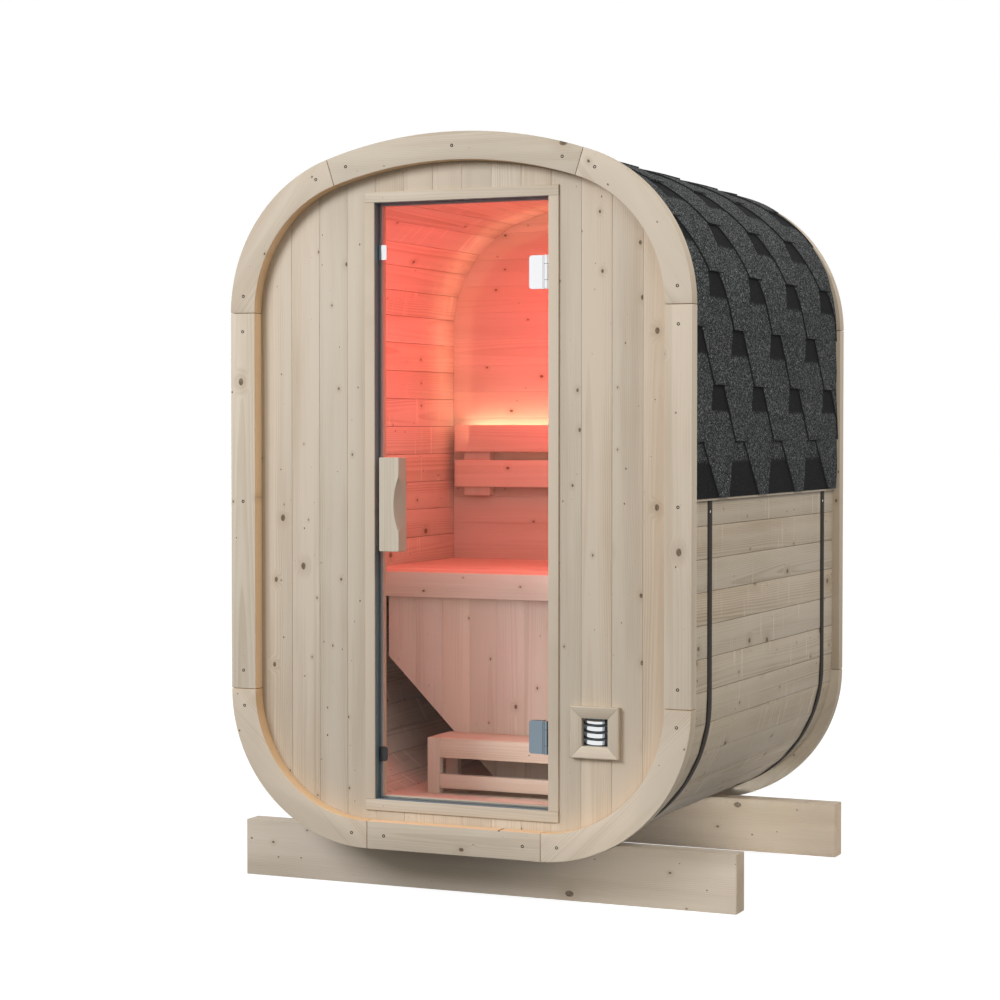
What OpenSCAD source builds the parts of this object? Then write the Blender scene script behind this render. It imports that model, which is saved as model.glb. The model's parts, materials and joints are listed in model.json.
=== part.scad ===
// Outdoor sauna: a rounded stave shell between two timber rings, standing on two skids
// Millimetres, +Z up, front face towards -Y, origin on the ground at the middle of the plan

/* [Rings] */
// Overall width of the rings
ring_w = 1400; // [1300:10:1600]
// Length over the outer faces of the two rings
body_len = 1460; // [1400:10:2400]
// Height of the straight part of each side
side_h = 1078; // [1000:2:1300]
// Outer radius of the lower corners
foot_r = 435; // [400:5:460]
// Outer radius of the upper corners
shoulder_r = 448; // [420:2:500]
// Angle from the middle of the top arch to its joints
crown_half = 17.86; // [15:0.01:22]
// Width of the ring boards
ring_band = 78; // [72:1:90]
// Thickness of the ring boards
ring_t = 42; // [24:1:45]
// Gap between the ends of neighbouring boards
butt_gap = 0.6; // [0.2:0.1:2]
// How far the rear ring sits lower than the front ring
rear_drop = 20; // [0:1:24]

/* [Shell and roof] */
// How far the staves lie inside the outer edge of the rings
shell_inset = 23; // [20:1:32]
// Thickness of the staves
shell_t = 45; // [36:1:45]
// Thickness of the roof covering
roof_t = 5; // [3:0.5:8]
// Height of the lower edge of the roof covering above the underside of the rings
roof_edge_h = 987; // [700:1:1200]
// How far the lower edge of the covering stands off the wall
eave_lift = 13; // [0:1:16]
// Width of the steel bands round the shell
band_w = 34; // [20:1:40]
// Thickness of the steel bands
band_t = 2; // [1:0.5:3]
// Distance from the front ring's face to the middle of the front band
front_band_from_end = 212; // [120:1:220]
// Distance from the rear ring's face to the middle of the rear band
rear_band_from_end = 162; // [120:1:200]

/* [Walls] */
// Thickness of the front and rear walls
wall_t = 42; // [36:1:50]
// Clear space between a curved edge and what it meets
seat_gap = 0.3; // [0.2:0.1:0.5]

/* [Doorway] */
// Clear width of the door frame
door_w = 530; // [480:2:600]
// Distance of the doorway's middle from the middle of the front
door_x = 8; // [0:1:20]
// Height of the wall over the door frame at its highest
over_door_h = 86.3; // [70:0.1:200]
// Height of the door sill above the underside of the rings
door_sill_h = 135; // [130:1:180]
// Face width of the jambs
jamb_w = 30; // [25:1:45]
// Face height of the head
head_h = 29; // [25:1:35]
// Face height of the sill
sill_t = 31; // [28:1:35]
// How far the frame stands proud of the front wall
frame_proud = 6; // [0:1:15]
// How far the frame reaches behind the front wall
frame_back = 12; // [0:1:30]
// Width of the stop behind the glass
stop_w = 12; // [10:1:18]

/* [Glass door] */
// Thickness of the glass
glass_t = 8; // [6:1:10]
// Distance from the door frame's face back to the glass
glass_recess = 24; // [20:1:30]
// Running clearance round the door
door_gap = 5; // [5:0.5:8]

/* [Handle] */
// Width of the handle block
handle_w = 61; // [40:1:80]
// Height of the handle block
handle_h = 264; // [180:2:320]
// Depth of the handle block
handle_d = 50; // [40:1:50]
// Distance of the handle from the door's free edge
handle_from_edge = 22; // [15:1:80]
// Height of the handle's middle above the underside of the rings
handle_mid_h = 970; // [800:5:1100]
// Length of the finger scoop
scoop_len = 160; // [100:2:200]
// Width of the scoop on the handle's front face
scoop_front = 16; // [8:1:24]
// Width of the scoop on the handle's side face
scoop_side = 37; // [20:1:44]

/* [Hinges and catches] */
// Height of a hinge
hinge_h = 92; // [70:1:120]
// Width of the hinge plate on the glass
hinge_plate_w = 45; // [35:1:60]
// Corner radius of the hinge plates
plate_r = 8; // [2:0.5:12]
// Thickness of the outer hinge plate
hinge_plate_t = 6; // [4:0.5:8]
// Thickness of the inner clamping plate
clamp_t = 2; // [1:0.5:3]
// Outer radius of the hinge knuckles
knuckle_r = 7; // [6:0.5:8]
// Radius of the hinge pin
pin_r = 3; // [2:0.5:4]
// Radial clearance between the pin and the moving knuckle
pin_clear = 0.08; // [0.05:0.01:0.1]
// Thickness of the leaf on the jamb
leaf_t = 3; // [2:0.5:4]
// Length of each fixed knuckle
fixed_knuckle = 24; // [18:1:30]
// Distance from the head of the door frame down to the upper hinge's middle
upper_hinge_drop = 206; // [120:2:400]
// Height of the lower hinge's middle above the underside of the rings
lower_hinge_h = 334; // [250:5:500]
// Width of a catch plate
catch_w = 24; // [16:1:30]
// Height of a catch plate
catch_h = 42; // [30:1:60]
// Corner radius of a catch plate
catch_r = 7; // [2:0.5:8]
// Thickness of a catch plate in front of the glass
catch_t = 4; // [2:0.5:6]
// Distance from the head of the door frame down to the upper catch's middle
upper_catch_drop = 139; // [60:1:300]
// Height of the lower catch above the underside of the rings
lower_catch_h = 262; // [200:5:400]

/* [Vent] */
// Outer width of the vent frame
vent_w = 142; // [120:2:180]
// Width of the vent opening
vent_hole = 76; // [60:2:100]
// How far the vent frame stands out from the wall
vent_proud = 18; // [10:1:24]
// Clear space between the door frame and the vent frame
vent_from_frame = 38.6; // [20:0.1:60]
// Height of the vent's middle above the underside of the rings
vent_mid_h = 358; // [330:2:500]
// Number of louvres
louvre_count = 4; // [3:1:6]
// Bevel along the outer edges of the vent frame
vent_bevel = 4; // [1:0.5:6]
// How far the vent frame's face falls towards the opening
vent_slope = 5; // [0:0.5:8]
// How far the louvre plate sits inside the wall
louvre_set = 4; // [0:1:12]
// How far the louvres bulge out of their plate
louvre_bulge = 7; // [4:1:10]

/* [Skids] */
// Length of each skid
skid_len = 1526; // [1400:2:1800]
// Height of each skid
skid_h = 164; // [100:1:200]
// Thickness of each skid
skid_t = 68; // [45:1:90]
// Distance from the front ring's face to the front skid
front_skid_from_end = 195; // [180:1:300]
// Distance from the rear ring's face to the rear skid
rear_skid_from_end = 228; // [202:1:300]

/* [Inside] */
// Thickness of the floor deck
deck_t = 25; // [18:1:30]
// Distance from the front ring's face to the front of the bench
bench_front = 590; // [560:5:800]
// Height of the bench above the underside of the rings
bench_top_h = 745; // [600:5:800]
// Thickness of the bench and step tops
seat_t = 28; // [20:1:40]
// Height of the bench fascia
bench_fascia_h = 76; // [60:1:120]
// Thickness of the fascia boards
fascia_t = 28; // [20:1:35]
// Clear space between the bench skirt and the shell
skirt_margin = 131; // [60:1:200]
// Thickness of the bench skirt
skirt_t = 18; // [12:1:28]
// Height where the skirt's corner cut starts, above the underside of the rings
skirt_cut_h = 482; // [400:2:520]
// Distance of the step's ends from the edges of the floor deck
step_margin = 103; // [60:1:150]
// Height of the step above the floor
step_h = 167; // [120:1:220]
// Distance from the front ring's face to the front of the step
step_front = 460; // [400:5:500]
// Height of the step's fascia
step_fascia_h = 59; // [40:1:70]
// Height of the step's lower slat
step_slat_h = 41; // [30:1:50]
// Gap between the floor and the lower slat
step_slat_z = 17; // [10:1:30]
// Width of the step's legs
step_leg_w = 40; // [30:1:60]

/* [Backrest] */
// Clear space between the ends of the backrest slats and the shell
backrest_margin = 31; // [10:1:60]
// Height of each backrest slat
backrest_slat_h = 89; // [60:1:120]
// Thickness of each backrest slat
backrest_slat_t = 20; // [15:1:28]
// Gap between the backrest slats
backrest_gap = 28; // [10:1:60]
// Height of the lower slat's bottom above the underside of the rings
backrest_low_h = 988; // [900:2:1100]
// Width of a backrest batten
batten_w = 96; // [40:1:120]
// Depth of a backrest batten
batten_t = 38; // [20:1:60]
// Distance of a batten's middle from the end of the backrest slats
batten_from_end = 72; // [50:2:200]
// How far the battens stop below the top of the upper slat
batten_drop = 29; // [20:1:40]
// Height of the light strip
light_h = 12; // [8:1:16]
// Depth of the light strip
light_d = 12; // [8:1:20]

/* [Hidden] */

// Smoothness of round outlines
$fn = 96;
// Clearance at the ends of the top arc of the shell and of the covering
crown_gap = 0.1;
// Length that carries a cut past the faces it goes through
past = 10;

// Colours of the timber, the covering and the fittings
wood = [0.80, 0.75, 0.66];
wood_inside = [0.78, 0.66, 0.56];
covering = [0.27, 0.29, 0.30];
dark_steel = [0.25, 0.25, 0.26];
chrome = [0.82, 0.83, 0.85];
satin_steel = [0.55, 0.60, 0.64];

// Faces along the length
front_y = -body_len / 2;
rear_y = body_len / 2;
shell_len = body_len - 2 * ring_t;
wall_y = front_y + ring_t;
wall_back_y = wall_y + wall_t;
rear_wall_y = rear_y - ring_t - wall_t;

// Centres of the outline's arcs
ring_z = skid_h - shell_inset;
foot_x = ring_w / 2 - foot_r;
foot_z = ring_z + foot_r;
shoulder_x = ring_w / 2 - shoulder_r;
shoulder_z = foot_z + side_h;
crown_r = shoulder_r + shoulder_x / sin(crown_half);
crown_z = shoulder_z - shoulder_x / tan(crown_half);
top_z = crown_z + crown_r;

// Inside of the shell and the edge of the walls
inner_inset = shell_inset + shell_t;
wall_inset = inner_inset + seat_gap;
inner_half = ring_w / 2 - wall_inset;
deck_top = ring_z + inner_inset + deck_t;
deck_half = foot_x + sqrt(pow(foot_r - wall_inset, 2) - pow(foot_z - deck_top, 2));

// Doorway
door_z0 = ring_z + door_sill_h;
frame_z0 = door_z0 - sill_t;
frame_z1 = top_z - wall_inset - over_door_h;
door_z1 = frame_z1 - head_h;
frame_half = door_w / 2 + jamb_w;
frame_x0 = door_x - frame_half;
frame_x1 = door_x + frame_half;
frame_y = wall_y - frame_proud;
frame_depth = frame_proud + wall_t + frame_back;

// Glass door
glass_y = frame_y + glass_recess;
glass_back_y = glass_y + glass_t;
jamb_x1 = door_x + door_w / 2;
glass_x0 = door_x - door_w / 2 + door_gap;
stop_y = glass_back_y + clamp_t + door_gap;
hinge_x = jamb_x1 - leaf_t - knuckle_r - 2;
hinge_y = glass_y - knuckle_r;
plate_x1 = hinge_x - knuckle_r;
glass_x1 = jamb_x1 - door_gap;
middle_knuckle = hinge_h - 2 * (fixed_knuckle + seat_gap);
hinge_heights = [door_z1 - upper_hinge_drop, ring_z + lower_hinge_h];

// Vent
vent_x = frame_x1 + vent_from_frame + vent_w / 2;
vent_z = ring_z + vent_mid_h;

// Inside furniture
skirt_half = inner_half - skirt_margin;
step_half = deck_half - step_margin;
backrest_half = inner_half - backrest_margin;
batten_x = backrest_half - batten_from_end;
bench_y = front_y + bench_front;
bench_z = ring_z + bench_top_h;
bench_len = rear_wall_y - bench_y;
skirt_y = bench_y + fascia_t;
step_y = front_y + step_front;
step_z = deck_top + step_h;
step_depth = skirt_y - step_y;
backrest_y = rear_wall_y - batten_t - backrest_slat_t;
lower_slat_z = ring_z + backrest_low_h;
upper_slat_z = lower_slat_z + backrest_slat_h + backrest_gap;
batten_top = upper_slat_z + backrest_slat_h - batten_drop;

// A board bent to an arc about a centre in the X-Z plane, angles from +X towards +Z
module arc_board(centre, outer_r, from, to, band, y0, depth) {
    translate([centre[0], y0 + depth, centre[1]])
        rotate([90, 0, 0])
            rotate([0, 0, from])
                rotate_extrude(angle = to - from, $fn = 144)
                    translate([outer_r - band, 0])
                        square([band, depth]);
}

// The stretches of the outline, each at a depth inside the rings' outer edge
module crown_stretch(inset, band, y0, depth, gap = 0) {
    trim = gap / crown_r * 180 / PI;
    arc_board([0, crown_z], crown_r - inset, 90 - crown_half + trim, 90 + crown_half - trim, band, y0, depth);
}

module right_shoulder_stretch(inset, band, y0, depth) {
    arc_board([shoulder_x, shoulder_z], shoulder_r - inset, 0, 90 - crown_half, band, y0, depth);
}

module right_foot_stretch(inset, band, y0, depth) {
    arc_board([foot_x, foot_z], foot_r - inset, -90, 0, band, y0, depth);
}

module right_side_stretch(inset, band, y0, depth, z0, z1) {
    translate([ring_w / 2 - inset - band, y0, z0])
        cube([band, depth, z1 - z0]);
}

module base_stretch(inset, band, y0, depth, gap = 0) {
    translate([-foot_x + gap, y0, ring_z + inset])
        cube([2 * (foot_x - gap), depth, band]);
}

module on_the_left() {
    mirror([1, 0, 0])
        children();
}

module both_sides() {
    children();
    on_the_left()
        children();
}

// Area inside the outline at a depth inside the rings' outer edge, drawn in X and Z
module outline_area(inset) {
    half = ring_w / 2 - inset;
    reach = 2 * crown_r;
    translate([-half, foot_z])
        square([2 * half, side_h]);
    translate([-foot_x, ring_z + inset])
        square([2 * foot_x, foot_r]);
    for (side = [-1, 1]) {
        translate([side * foot_x, foot_z])
            circle(r = foot_r - inset, $fn = 144);
        translate([side * shoulder_x, shoulder_z])
            circle(r = shoulder_r - inset, $fn = 144);
    }
    intersection() {
        translate([0, crown_z])
            circle(r = crown_r - inset, $fn = 360);
        polygon([
            [0, crown_z],
            [reach * sin(crown_half), crown_z + reach * cos(crown_half)],
            [-reach * sin(crown_half), crown_z + reach * cos(crown_half)]
        ]);
    }
}

module wall_panel(y0) {
    translate([0, y0 + wall_t, 0])
        rotate([90, 0, 0])
            linear_extrude(wall_t)
                outline_area(wall_inset);
}

// A box between two corners
module block(low, high) {
    translate(low)
        cube(high - low);
}

// Rings
module front_ring_top() {
    color(wood) crown_stretch(0, ring_band, front_y, ring_t, butt_gap);
}

module front_ring_top_right() {
    color(wood) right_shoulder_stretch(0, ring_band, front_y, ring_t);
}

module front_ring_top_left() {
    color(wood) on_the_left() right_shoulder_stretch(0, ring_band, front_y, ring_t);
}

module ring_side(y0) {
    right_side_stretch(0, ring_band, y0, ring_t, foot_z + butt_gap, shoulder_z - butt_gap);
}

module front_ring_right() {
    color(wood) ring_side(front_y);
}

module front_ring_left() {
    color(wood) on_the_left() ring_side(front_y);
}

module front_ring_bottom_right() {
    color(wood) right_foot_stretch(0, ring_band, front_y, ring_t);
}

module front_ring_bottom_left() {
    color(wood) on_the_left() right_foot_stretch(0, ring_band, front_y, ring_t);
}

module front_ring_bottom() {
    color(wood) base_stretch(0, ring_band, front_y, ring_t, butt_gap);
}

module lowered_at_the_rear() {
    translate([0, 0, -rear_drop])
        children();
}

module rear_ring_arch() {
    color(wood)
        lowered_at_the_rear() {
            crown_stretch(0, ring_band, rear_y - ring_t, ring_t, butt_gap);
            both_sides()
                right_shoulder_stretch(0, ring_band, rear_y - ring_t, ring_t);
        }
}

module rear_ring_sides() {
    color(wood)
        lowered_at_the_rear()
            both_sides()
                ring_side(rear_y - ring_t);
}

module rear_ring_foot() {
    color(wood)
        lowered_at_the_rear() {
            base_stretch(0, ring_band, rear_y - ring_t, ring_t, butt_gap);
            both_sides()
                right_foot_stretch(0, ring_band, rear_y - ring_t, ring_t);
        }
}

// Shell between the rings
module shell_crown() {
    color(wood) crown_stretch(shell_inset, shell_t, wall_y, shell_len, crown_gap);
}

module shell_shoulders() {
    color(wood)
        both_sides()
            right_shoulder_stretch(shell_inset, shell_t, wall_y, shell_len);
}

module shell_sides() {
    color(wood)
        both_sides()
            right_side_stretch(shell_inset, shell_t, wall_y, shell_len, foot_z, shoulder_z);
}

module shell_feet() {
    color(wood)
        both_sides()
            right_foot_stretch(shell_inset, shell_t, wall_y, shell_len);
}

module shell_base() {
    color(wood) base_stretch(shell_inset, shell_t, wall_y, shell_len);
}

// Roof covering
cover_inset = shell_inset - roof_t - seat_gap;

module roof_cover_top() {
    color(covering) crown_stretch(cover_inset, roof_t, wall_y, shell_len, crown_gap);
}

// The side stands off the wall on its way down, over a strip along the eaves
module roof_cover_side() {
    inner_x = ring_w / 2 - cover_inset - roof_t;
    edge_z = ring_z + roof_edge_h;
    right_shoulder_stretch(cover_inset, roof_t, wall_y, shell_len);
    translate([0, wall_y + shell_len, 0])
        rotate([90, 0, 0])
            linear_extrude(shell_len)
                polygon([
                    [inner_x, edge_z], [inner_x + roof_t + eave_lift, edge_z],
                    [inner_x + roof_t, shoulder_z], [inner_x, shoulder_z]
                ]);
}

module roof_cover_right() {
    color(covering) roof_cover_side();
}

module roof_cover_left() {
    color(covering) on_the_left() roof_cover_side();
}

// Walls
module front_wall_left() {
    color(wood)
        intersection() {
            wall_panel(wall_y);
            block([-ring_w, wall_y - past, 0], [frame_x0, wall_back_y + past, 2 * top_z]);
        }
}

module front_wall_right() {
    color(wood)
        difference() {
            intersection() {
                wall_panel(wall_y);
                block([frame_x1, wall_y - past, 0], [ring_w, wall_back_y + past, 2 * top_z]);
            }
            vent_passage();
        }
}

module front_wall_over_door() {
    color(wood)
        intersection() {
            wall_panel(wall_y);
            block([frame_x0, wall_y - past, frame_z1], [frame_x1, wall_back_y + past, 2 * top_z]);
        }
}

module front_wall_under_door() {
    color(wood)
        intersection() {
            wall_panel(wall_y);
            block([frame_x0, wall_y - past, 0], [frame_x1, wall_back_y + past, frame_z0]);
        }
}

module rear_wall() {
    color(wood_inside) wall_panel(rear_wall_y);
}

// Door frame with a stop behind the glass
module door_jamb() {
    difference() {
        block([door_w / 2 - stop_w, frame_y, door_z0], [frame_half, frame_y + frame_depth, door_z1]);
        block([door_w / 2 - stop_w - past, frame_y - past, door_z0 - past], [door_w / 2, stop_y, door_z1 + past]);
    }
}

module door_jambs() {
    color(wood)
        translate([door_x, 0, 0])
            both_sides()
                door_jamb();
}

// A stop across the doorway, between the stops of the jambs
module cross_stop(z0) {
    reach = door_w / 2 - stop_w;
    block([door_x - reach, stop_y, z0], [door_x + reach, frame_y + frame_depth, z0 + stop_w]);
}

module door_head() {
    color(wood) {
        block([frame_x0, frame_y, door_z1], [frame_x1, frame_y + frame_depth, frame_z1]);
        cross_stop(door_z1 - stop_w);
    }
}

module door_sill() {
    color(wood) {
        block([frame_x0, frame_y, frame_z0], [frame_x1, frame_y + frame_depth, door_z0]);
        cross_stop(door_z0);
    }
}

// Glass door, notched round the knuckles of its hinges
module door_glass() {
    notch = hinge_h / 2 + door_gap;
    color([0.75, 0.85, 0.85, 0.3])
        difference() {
            block([glass_x0, glass_y, door_z0 + door_gap], [glass_x1, glass_back_y, door_z1 - door_gap]);
            for (mid_z = hinge_heights)
                block([plate_x1, glass_y - past, mid_z - notch], [glass_x1 + past, glass_back_y + past, mid_z + notch]);
        }
}

// The scoop is a round cut across the handle's front corner
scoop_run = norm([scoop_front, scoop_side]);
scoop_depth = scoop_front * scoop_side / scoop_run;
scoop_r = (pow(scoop_len / 2, 2) + pow(scoop_depth, 2)) / (2 * scoop_depth);

module door_handle() {
    x0 = glass_x0 + handle_from_edge;
    x1 = x0 + handle_w;
    y0 = glass_y - handle_d;
    mid_z = ring_z + handle_mid_h;
    out_x = scoop_side / scoop_run * (scoop_r - scoop_depth);
    out_y = -scoop_front / scoop_run * (scoop_r - scoop_depth);
    color(wood)
        difference() {
            block([x0, y0, mid_z - handle_h / 2], [x1, glass_y, mid_z + handle_h / 2]);
            translate([x1 + out_x, y0 + out_y, mid_z])
                rotate([0, 0, atan2(scoop_side, scoop_front)])
                    rotate([0, 90, 0])
                        cylinder(r = scoop_r, h = 4 * handle_w, center = true, $fn = 144);
        }
}

// A plate in the X-Z plane with its two corners on one side rounded
module rounded_plate(x_square, x_round, y0, y1, z0, z1, r) {
    centre_x = x_round > x_square ? x_round - r : x_round + r;
    translate([0, y1, 0])
        rotate([90, 0, 0])
            linear_extrude(y1 - y0)
                union() {
                    polygon([[x_square, z0], [centre_x, z0], [centre_x, z1], [x_square, z1]]);
                    polygon([[centre_x, z0 + r], [x_round, z0 + r], [x_round, z1 - r], [centre_x, z1 - r]]);
                    translate([centre_x, z0 + r])
                        circle(r = r, $fn = 32);
                    translate([centre_x, z1 - r])
                        circle(r = r, $fn = 32);
                }
}

// Hinge parts that turn with the glass: two clamping plates and the middle knuckle
module door_hinge(mid_z) {
    z0 = mid_z - hinge_h / 2;
    z1 = mid_z + hinge_h / 2;
    x0 = plate_x1 - hinge_plate_w;
    rounded_plate(plate_x1, x0, glass_y - hinge_plate_t, glass_y, z0, z1, plate_r);
    rounded_plate(plate_x1, x0, glass_back_y, glass_back_y + clamp_t, z0, z1, plate_r);
    difference() {
        union() {
            translate([hinge_x, hinge_y, mid_z - middle_knuckle / 2])
                cylinder(r = knuckle_r, h = middle_knuckle);
            block([plate_x1 - 1, glass_y - hinge_plate_t, mid_z - middle_knuckle / 2],
                  [hinge_x, glass_y - hinge_plate_t + 4, mid_z + middle_knuckle / 2]);
        }
        translate([hinge_x, hinge_y, mid_z - hinge_h])
            cylinder(r = pin_r + pin_clear, h = 2 * hinge_h);
    }
}

module door_hinges() {
    color(chrome)
        for (mid_z = hinge_heights)
            door_hinge(mid_z);
}

// Hinge parts on the jamb: the leaf, two fixed knuckles and the pin
module frame_hinge(mid_z) {
    z0 = mid_z - hinge_h / 2;
    z1 = mid_z + hinge_h / 2;
    block([jamb_x1 - leaf_t, hinge_y - knuckle_r, z0], [jamb_x1, stop_y, z1]);
    for (foot = [z0, z1 - fixed_knuckle]) {
        translate([hinge_x, hinge_y, foot])
            cylinder(r = knuckle_r, h = fixed_knuckle);
        block([hinge_x, hinge_y - leaf_t, foot], [jamb_x1, hinge_y + leaf_t, foot + fixed_knuckle]);
    }
    translate([hinge_x, hinge_y, z0])
        cylinder(r = pin_r, h = hinge_h);
}

module frame_hinges() {
    color(chrome)
        for (mid_z = hinge_heights)
            frame_hinge(mid_z);
}

// Catch plates that clasp the free edge of the glass
module glass_catch(mid_z, r) {
    z0 = mid_z - catch_h / 2;
    rounded_plate(glass_x0, glass_x0 + catch_w, glass_y - catch_t, glass_y, z0, z0 + catch_h, r);
}

module upper_catch() {
    color(chrome) glass_catch(door_z1 - upper_catch_drop, catch_r);
}

module lower_catch() {
    color(dark_steel) glass_catch(ring_z + lower_catch_h, catch_r);
}

// Vent
module vent_passage() {
    half = vent_hole / 2;
    block([vent_x - half, wall_y - vent_proud - past, vent_z - half],
          [vent_x + half, wall_back_y + past, vent_z + half]);
}

// One mitred member of the vent frame, its face falling a little towards the opening
module vent_member(turn) {
    half = vent_w / 2;
    hole = vent_hole / 2;
    translate([vent_x, wall_y, vent_z])
        rotate([0, turn, 0])
            intersection() {
                translate([-half, 0, 0])
                    rotate([90, 0, 90])
                        linear_extrude(2 * half)
                            polygon([
                                [0, hole], [0, half], [-vent_proud + vent_bevel, half], [-vent_proud, half - vent_bevel],
                                [-vent_proud + vent_slope, hole]
                            ]);
                translate([0, past, 0])
                    rotate([90, 0, 0])
                        linear_extrude(vent_proud + 2 * past)
                            polygon([[0, 0], [half + past, half + past], [-half - past, half + past]]);
            }
}

module vent_frame() {
    color(wood)
        for (turn = [0 : 90 : 270])
            vent_member(turn);
}

louvre_plate_t = 3;
louvre_pitch = vent_hole / louvre_count;

module vent_louvre() {
    half = vent_hole / 2 - seat_gap;
    plate_y = wall_y + louvre_set;
    rise = louvre_pitch / 2 - 1;
    bulge_r = (pow(rise, 2) + pow(louvre_bulge, 2)) / (2 * louvre_bulge);
    color(chrome)
        union() {
            block([vent_x - half, plate_y, vent_z - half], [vent_x + half, plate_y + louvre_plate_t, vent_z + half]);
            intersection() {
                block([vent_x - half + 3, plate_y - louvre_bulge - 1, vent_z - half],
                      [vent_x + half - 3, plate_y + 1, vent_z + half]);
                for (i = [0 : louvre_count - 1])
                    translate([vent_x - half, plate_y - louvre_bulge + bulge_r, vent_z - half + rise + 1 + i * louvre_pitch])
                        rotate([0, 90, 0])
                            cylinder(r = bulge_r, h = 2 * half, $fn = 48);
            }
        }
}

// Steel bands from one edge of the roof covering down round the base to the other
band_inset = shell_inset - band_t - seat_gap;

module steel_band(mid_y) {
    y0 = mid_y - band_w / 2;
    base_stretch(band_inset, band_t, y0, band_w);
    both_sides() {
        right_foot_stretch(band_inset, band_t, y0, band_w);
        right_side_stretch(band_inset, band_t, y0, band_w, foot_z, ring_z + roof_edge_h - seat_gap);
    }
}

module steel_bands() {
    color(dark_steel) {
        steel_band(front_y + front_band_from_end);
        steel_band(rear_y - rear_band_from_end);
    }
}

// Skids
housing_reach = 60;

module skid(y0) {
    block([-skid_len / 2, y0, 0], [skid_len / 2, y0 + skid_t, skid_h]);
}

// The front skid is housed out under the front band
module front_skid() {
    housing_half = foot_x + housing_reach;
    housing_y = front_y + front_band_from_end + band_w / 2 + seat_gap;
    color(wood)
        difference() {
            skid(front_y + front_skid_from_end);
            block([-housing_half, front_y, skid_h - band_t - 2 * seat_gap], [housing_half, housing_y, skid_h + past]);
        }
}

module rear_skid() {
    color(wood) skid(rear_y - rear_skid_from_end - skid_t);
}

// Floor and furniture
module floor_deck() {
    color(wood_inside)
        translate([0, rear_wall_y, 0])
            rotate([90, 0, 0])
                linear_extrude(rear_wall_y - wall_back_y)
                    intersection() {
                        outline_area(wall_inset);
                        translate([-ring_w, 0])
                            square([2 * ring_w, deck_top]);
                    }
}

module bench_top() {
    color(wood_inside)
        block([-inner_half, skirt_y, bench_z - seat_t], [inner_half, rear_wall_y, bench_z]);
}

module bench_fascia() {
    color(wood_inside)
        block([-inner_half, bench_y, bench_z - bench_fascia_h], [inner_half, skirt_y, bench_z]);
}

module bench_skirt() {
    cut_z = ring_z + skirt_cut_h;
    top = bench_z - seat_t;
    foot_half = skirt_half - (cut_z - deck_top);
    color(wood_inside)
        translate([0, skirt_y + skirt_t, 0])
            rotate([90, 0, 0])
                linear_extrude(skirt_t)
                    polygon([
                        [-skirt_half, top], [-skirt_half, cut_z], [-foot_half, deck_top],
                        [foot_half, deck_top], [skirt_half, cut_z], [skirt_half, top]
                    ]);
}

step_rail_z = step_z - step_fascia_h;

module step_top() {
    color(wood_inside)
        block([-step_half, step_y + fascia_t, step_z - seat_t], [step_half, skirt_y, step_z]);
}

module step_front() {
    slat_z = deck_top + step_slat_z;
    reach = step_half - step_leg_w;
    color(wood_inside) {
        block([-reach, step_y, step_rail_z], [reach, step_y + fascia_t, step_z]);
        block([-reach, step_y, slat_z], [reach, step_y + fascia_t, slat_z + step_slat_h]);
    }
}

// Each end of the step: a front leg, a rear leg and the rail between them
module step_end() {
    x0 = step_half - step_leg_w;
    rail_top = step_z - seat_t;
    block([x0, step_y, deck_top], [step_half, step_y + fascia_t, step_z]);
    block([x0, skirt_y - fascia_t, deck_top], [step_half, skirt_y, rail_top]);
    block([x0, step_y + fascia_t, step_rail_z], [step_half, skirt_y - fascia_t, rail_top]);
}

module step_legs() {
    color(wood_inside)
        both_sides()
            step_end();
}

module backrest_slats() {
    color(wood_inside)
        for (z = [lower_slat_z, upper_slat_z])
            block([-backrest_half, backrest_y, z],
                  [backrest_half, backrest_y + backrest_slat_t, z + backrest_slat_h]);
}

module backrest_battens() {
    color(wood_inside)
        both_sides()
            block([batten_x - batten_w / 2, rear_wall_y - batten_t, lower_slat_z - batten_drop],
                  [batten_x + batten_w / 2, rear_wall_y, batten_top]);
}

module light_strip() {
    reach = batten_x + batten_w / 2;
    color("white")
        block([-reach, rear_wall_y - batten_t, batten_top],
              [reach, rear_wall_y - batten_t + light_d, batten_top + light_h]);
}

front_ring_top();
front_ring_top_left();
front_ring_top_right();
front_ring_left();
front_ring_right();
front_ring_bottom_left();
front_ring_bottom_right();
front_ring_bottom();
rear_ring_arch();
rear_ring_sides();
rear_ring_foot();
shell_crown();
shell_shoulders();
shell_sides();
shell_feet();
shell_base();
roof_cover_top();
roof_cover_left();
roof_cover_right();
front_wall_left();
front_wall_right();
front_wall_over_door();
front_wall_under_door();
rear_wall();
door_jambs();
door_head();
door_sill();
door_glass();
door_handle();
door_hinges();
frame_hinges();
upper_catch();
lower_catch();
vent_frame();
vent_louvre();
steel_bands();
front_skid();
rear_skid();
floor_deck();
bench_top();
bench_fascia();
bench_skirt();
step_top();
step_front();
step_legs();
backrest_slats();
backrest_battens();
light_strip();
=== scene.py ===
"""Dresses the outdoor sauna: boards, shingles, glass door, fittings, inside light, camera and stage."""

import json
import logging
import math
import random
from dataclasses import dataclass, field
from enum import Enum
from typing import Callable, Iterable, Optional, Sequence

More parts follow.
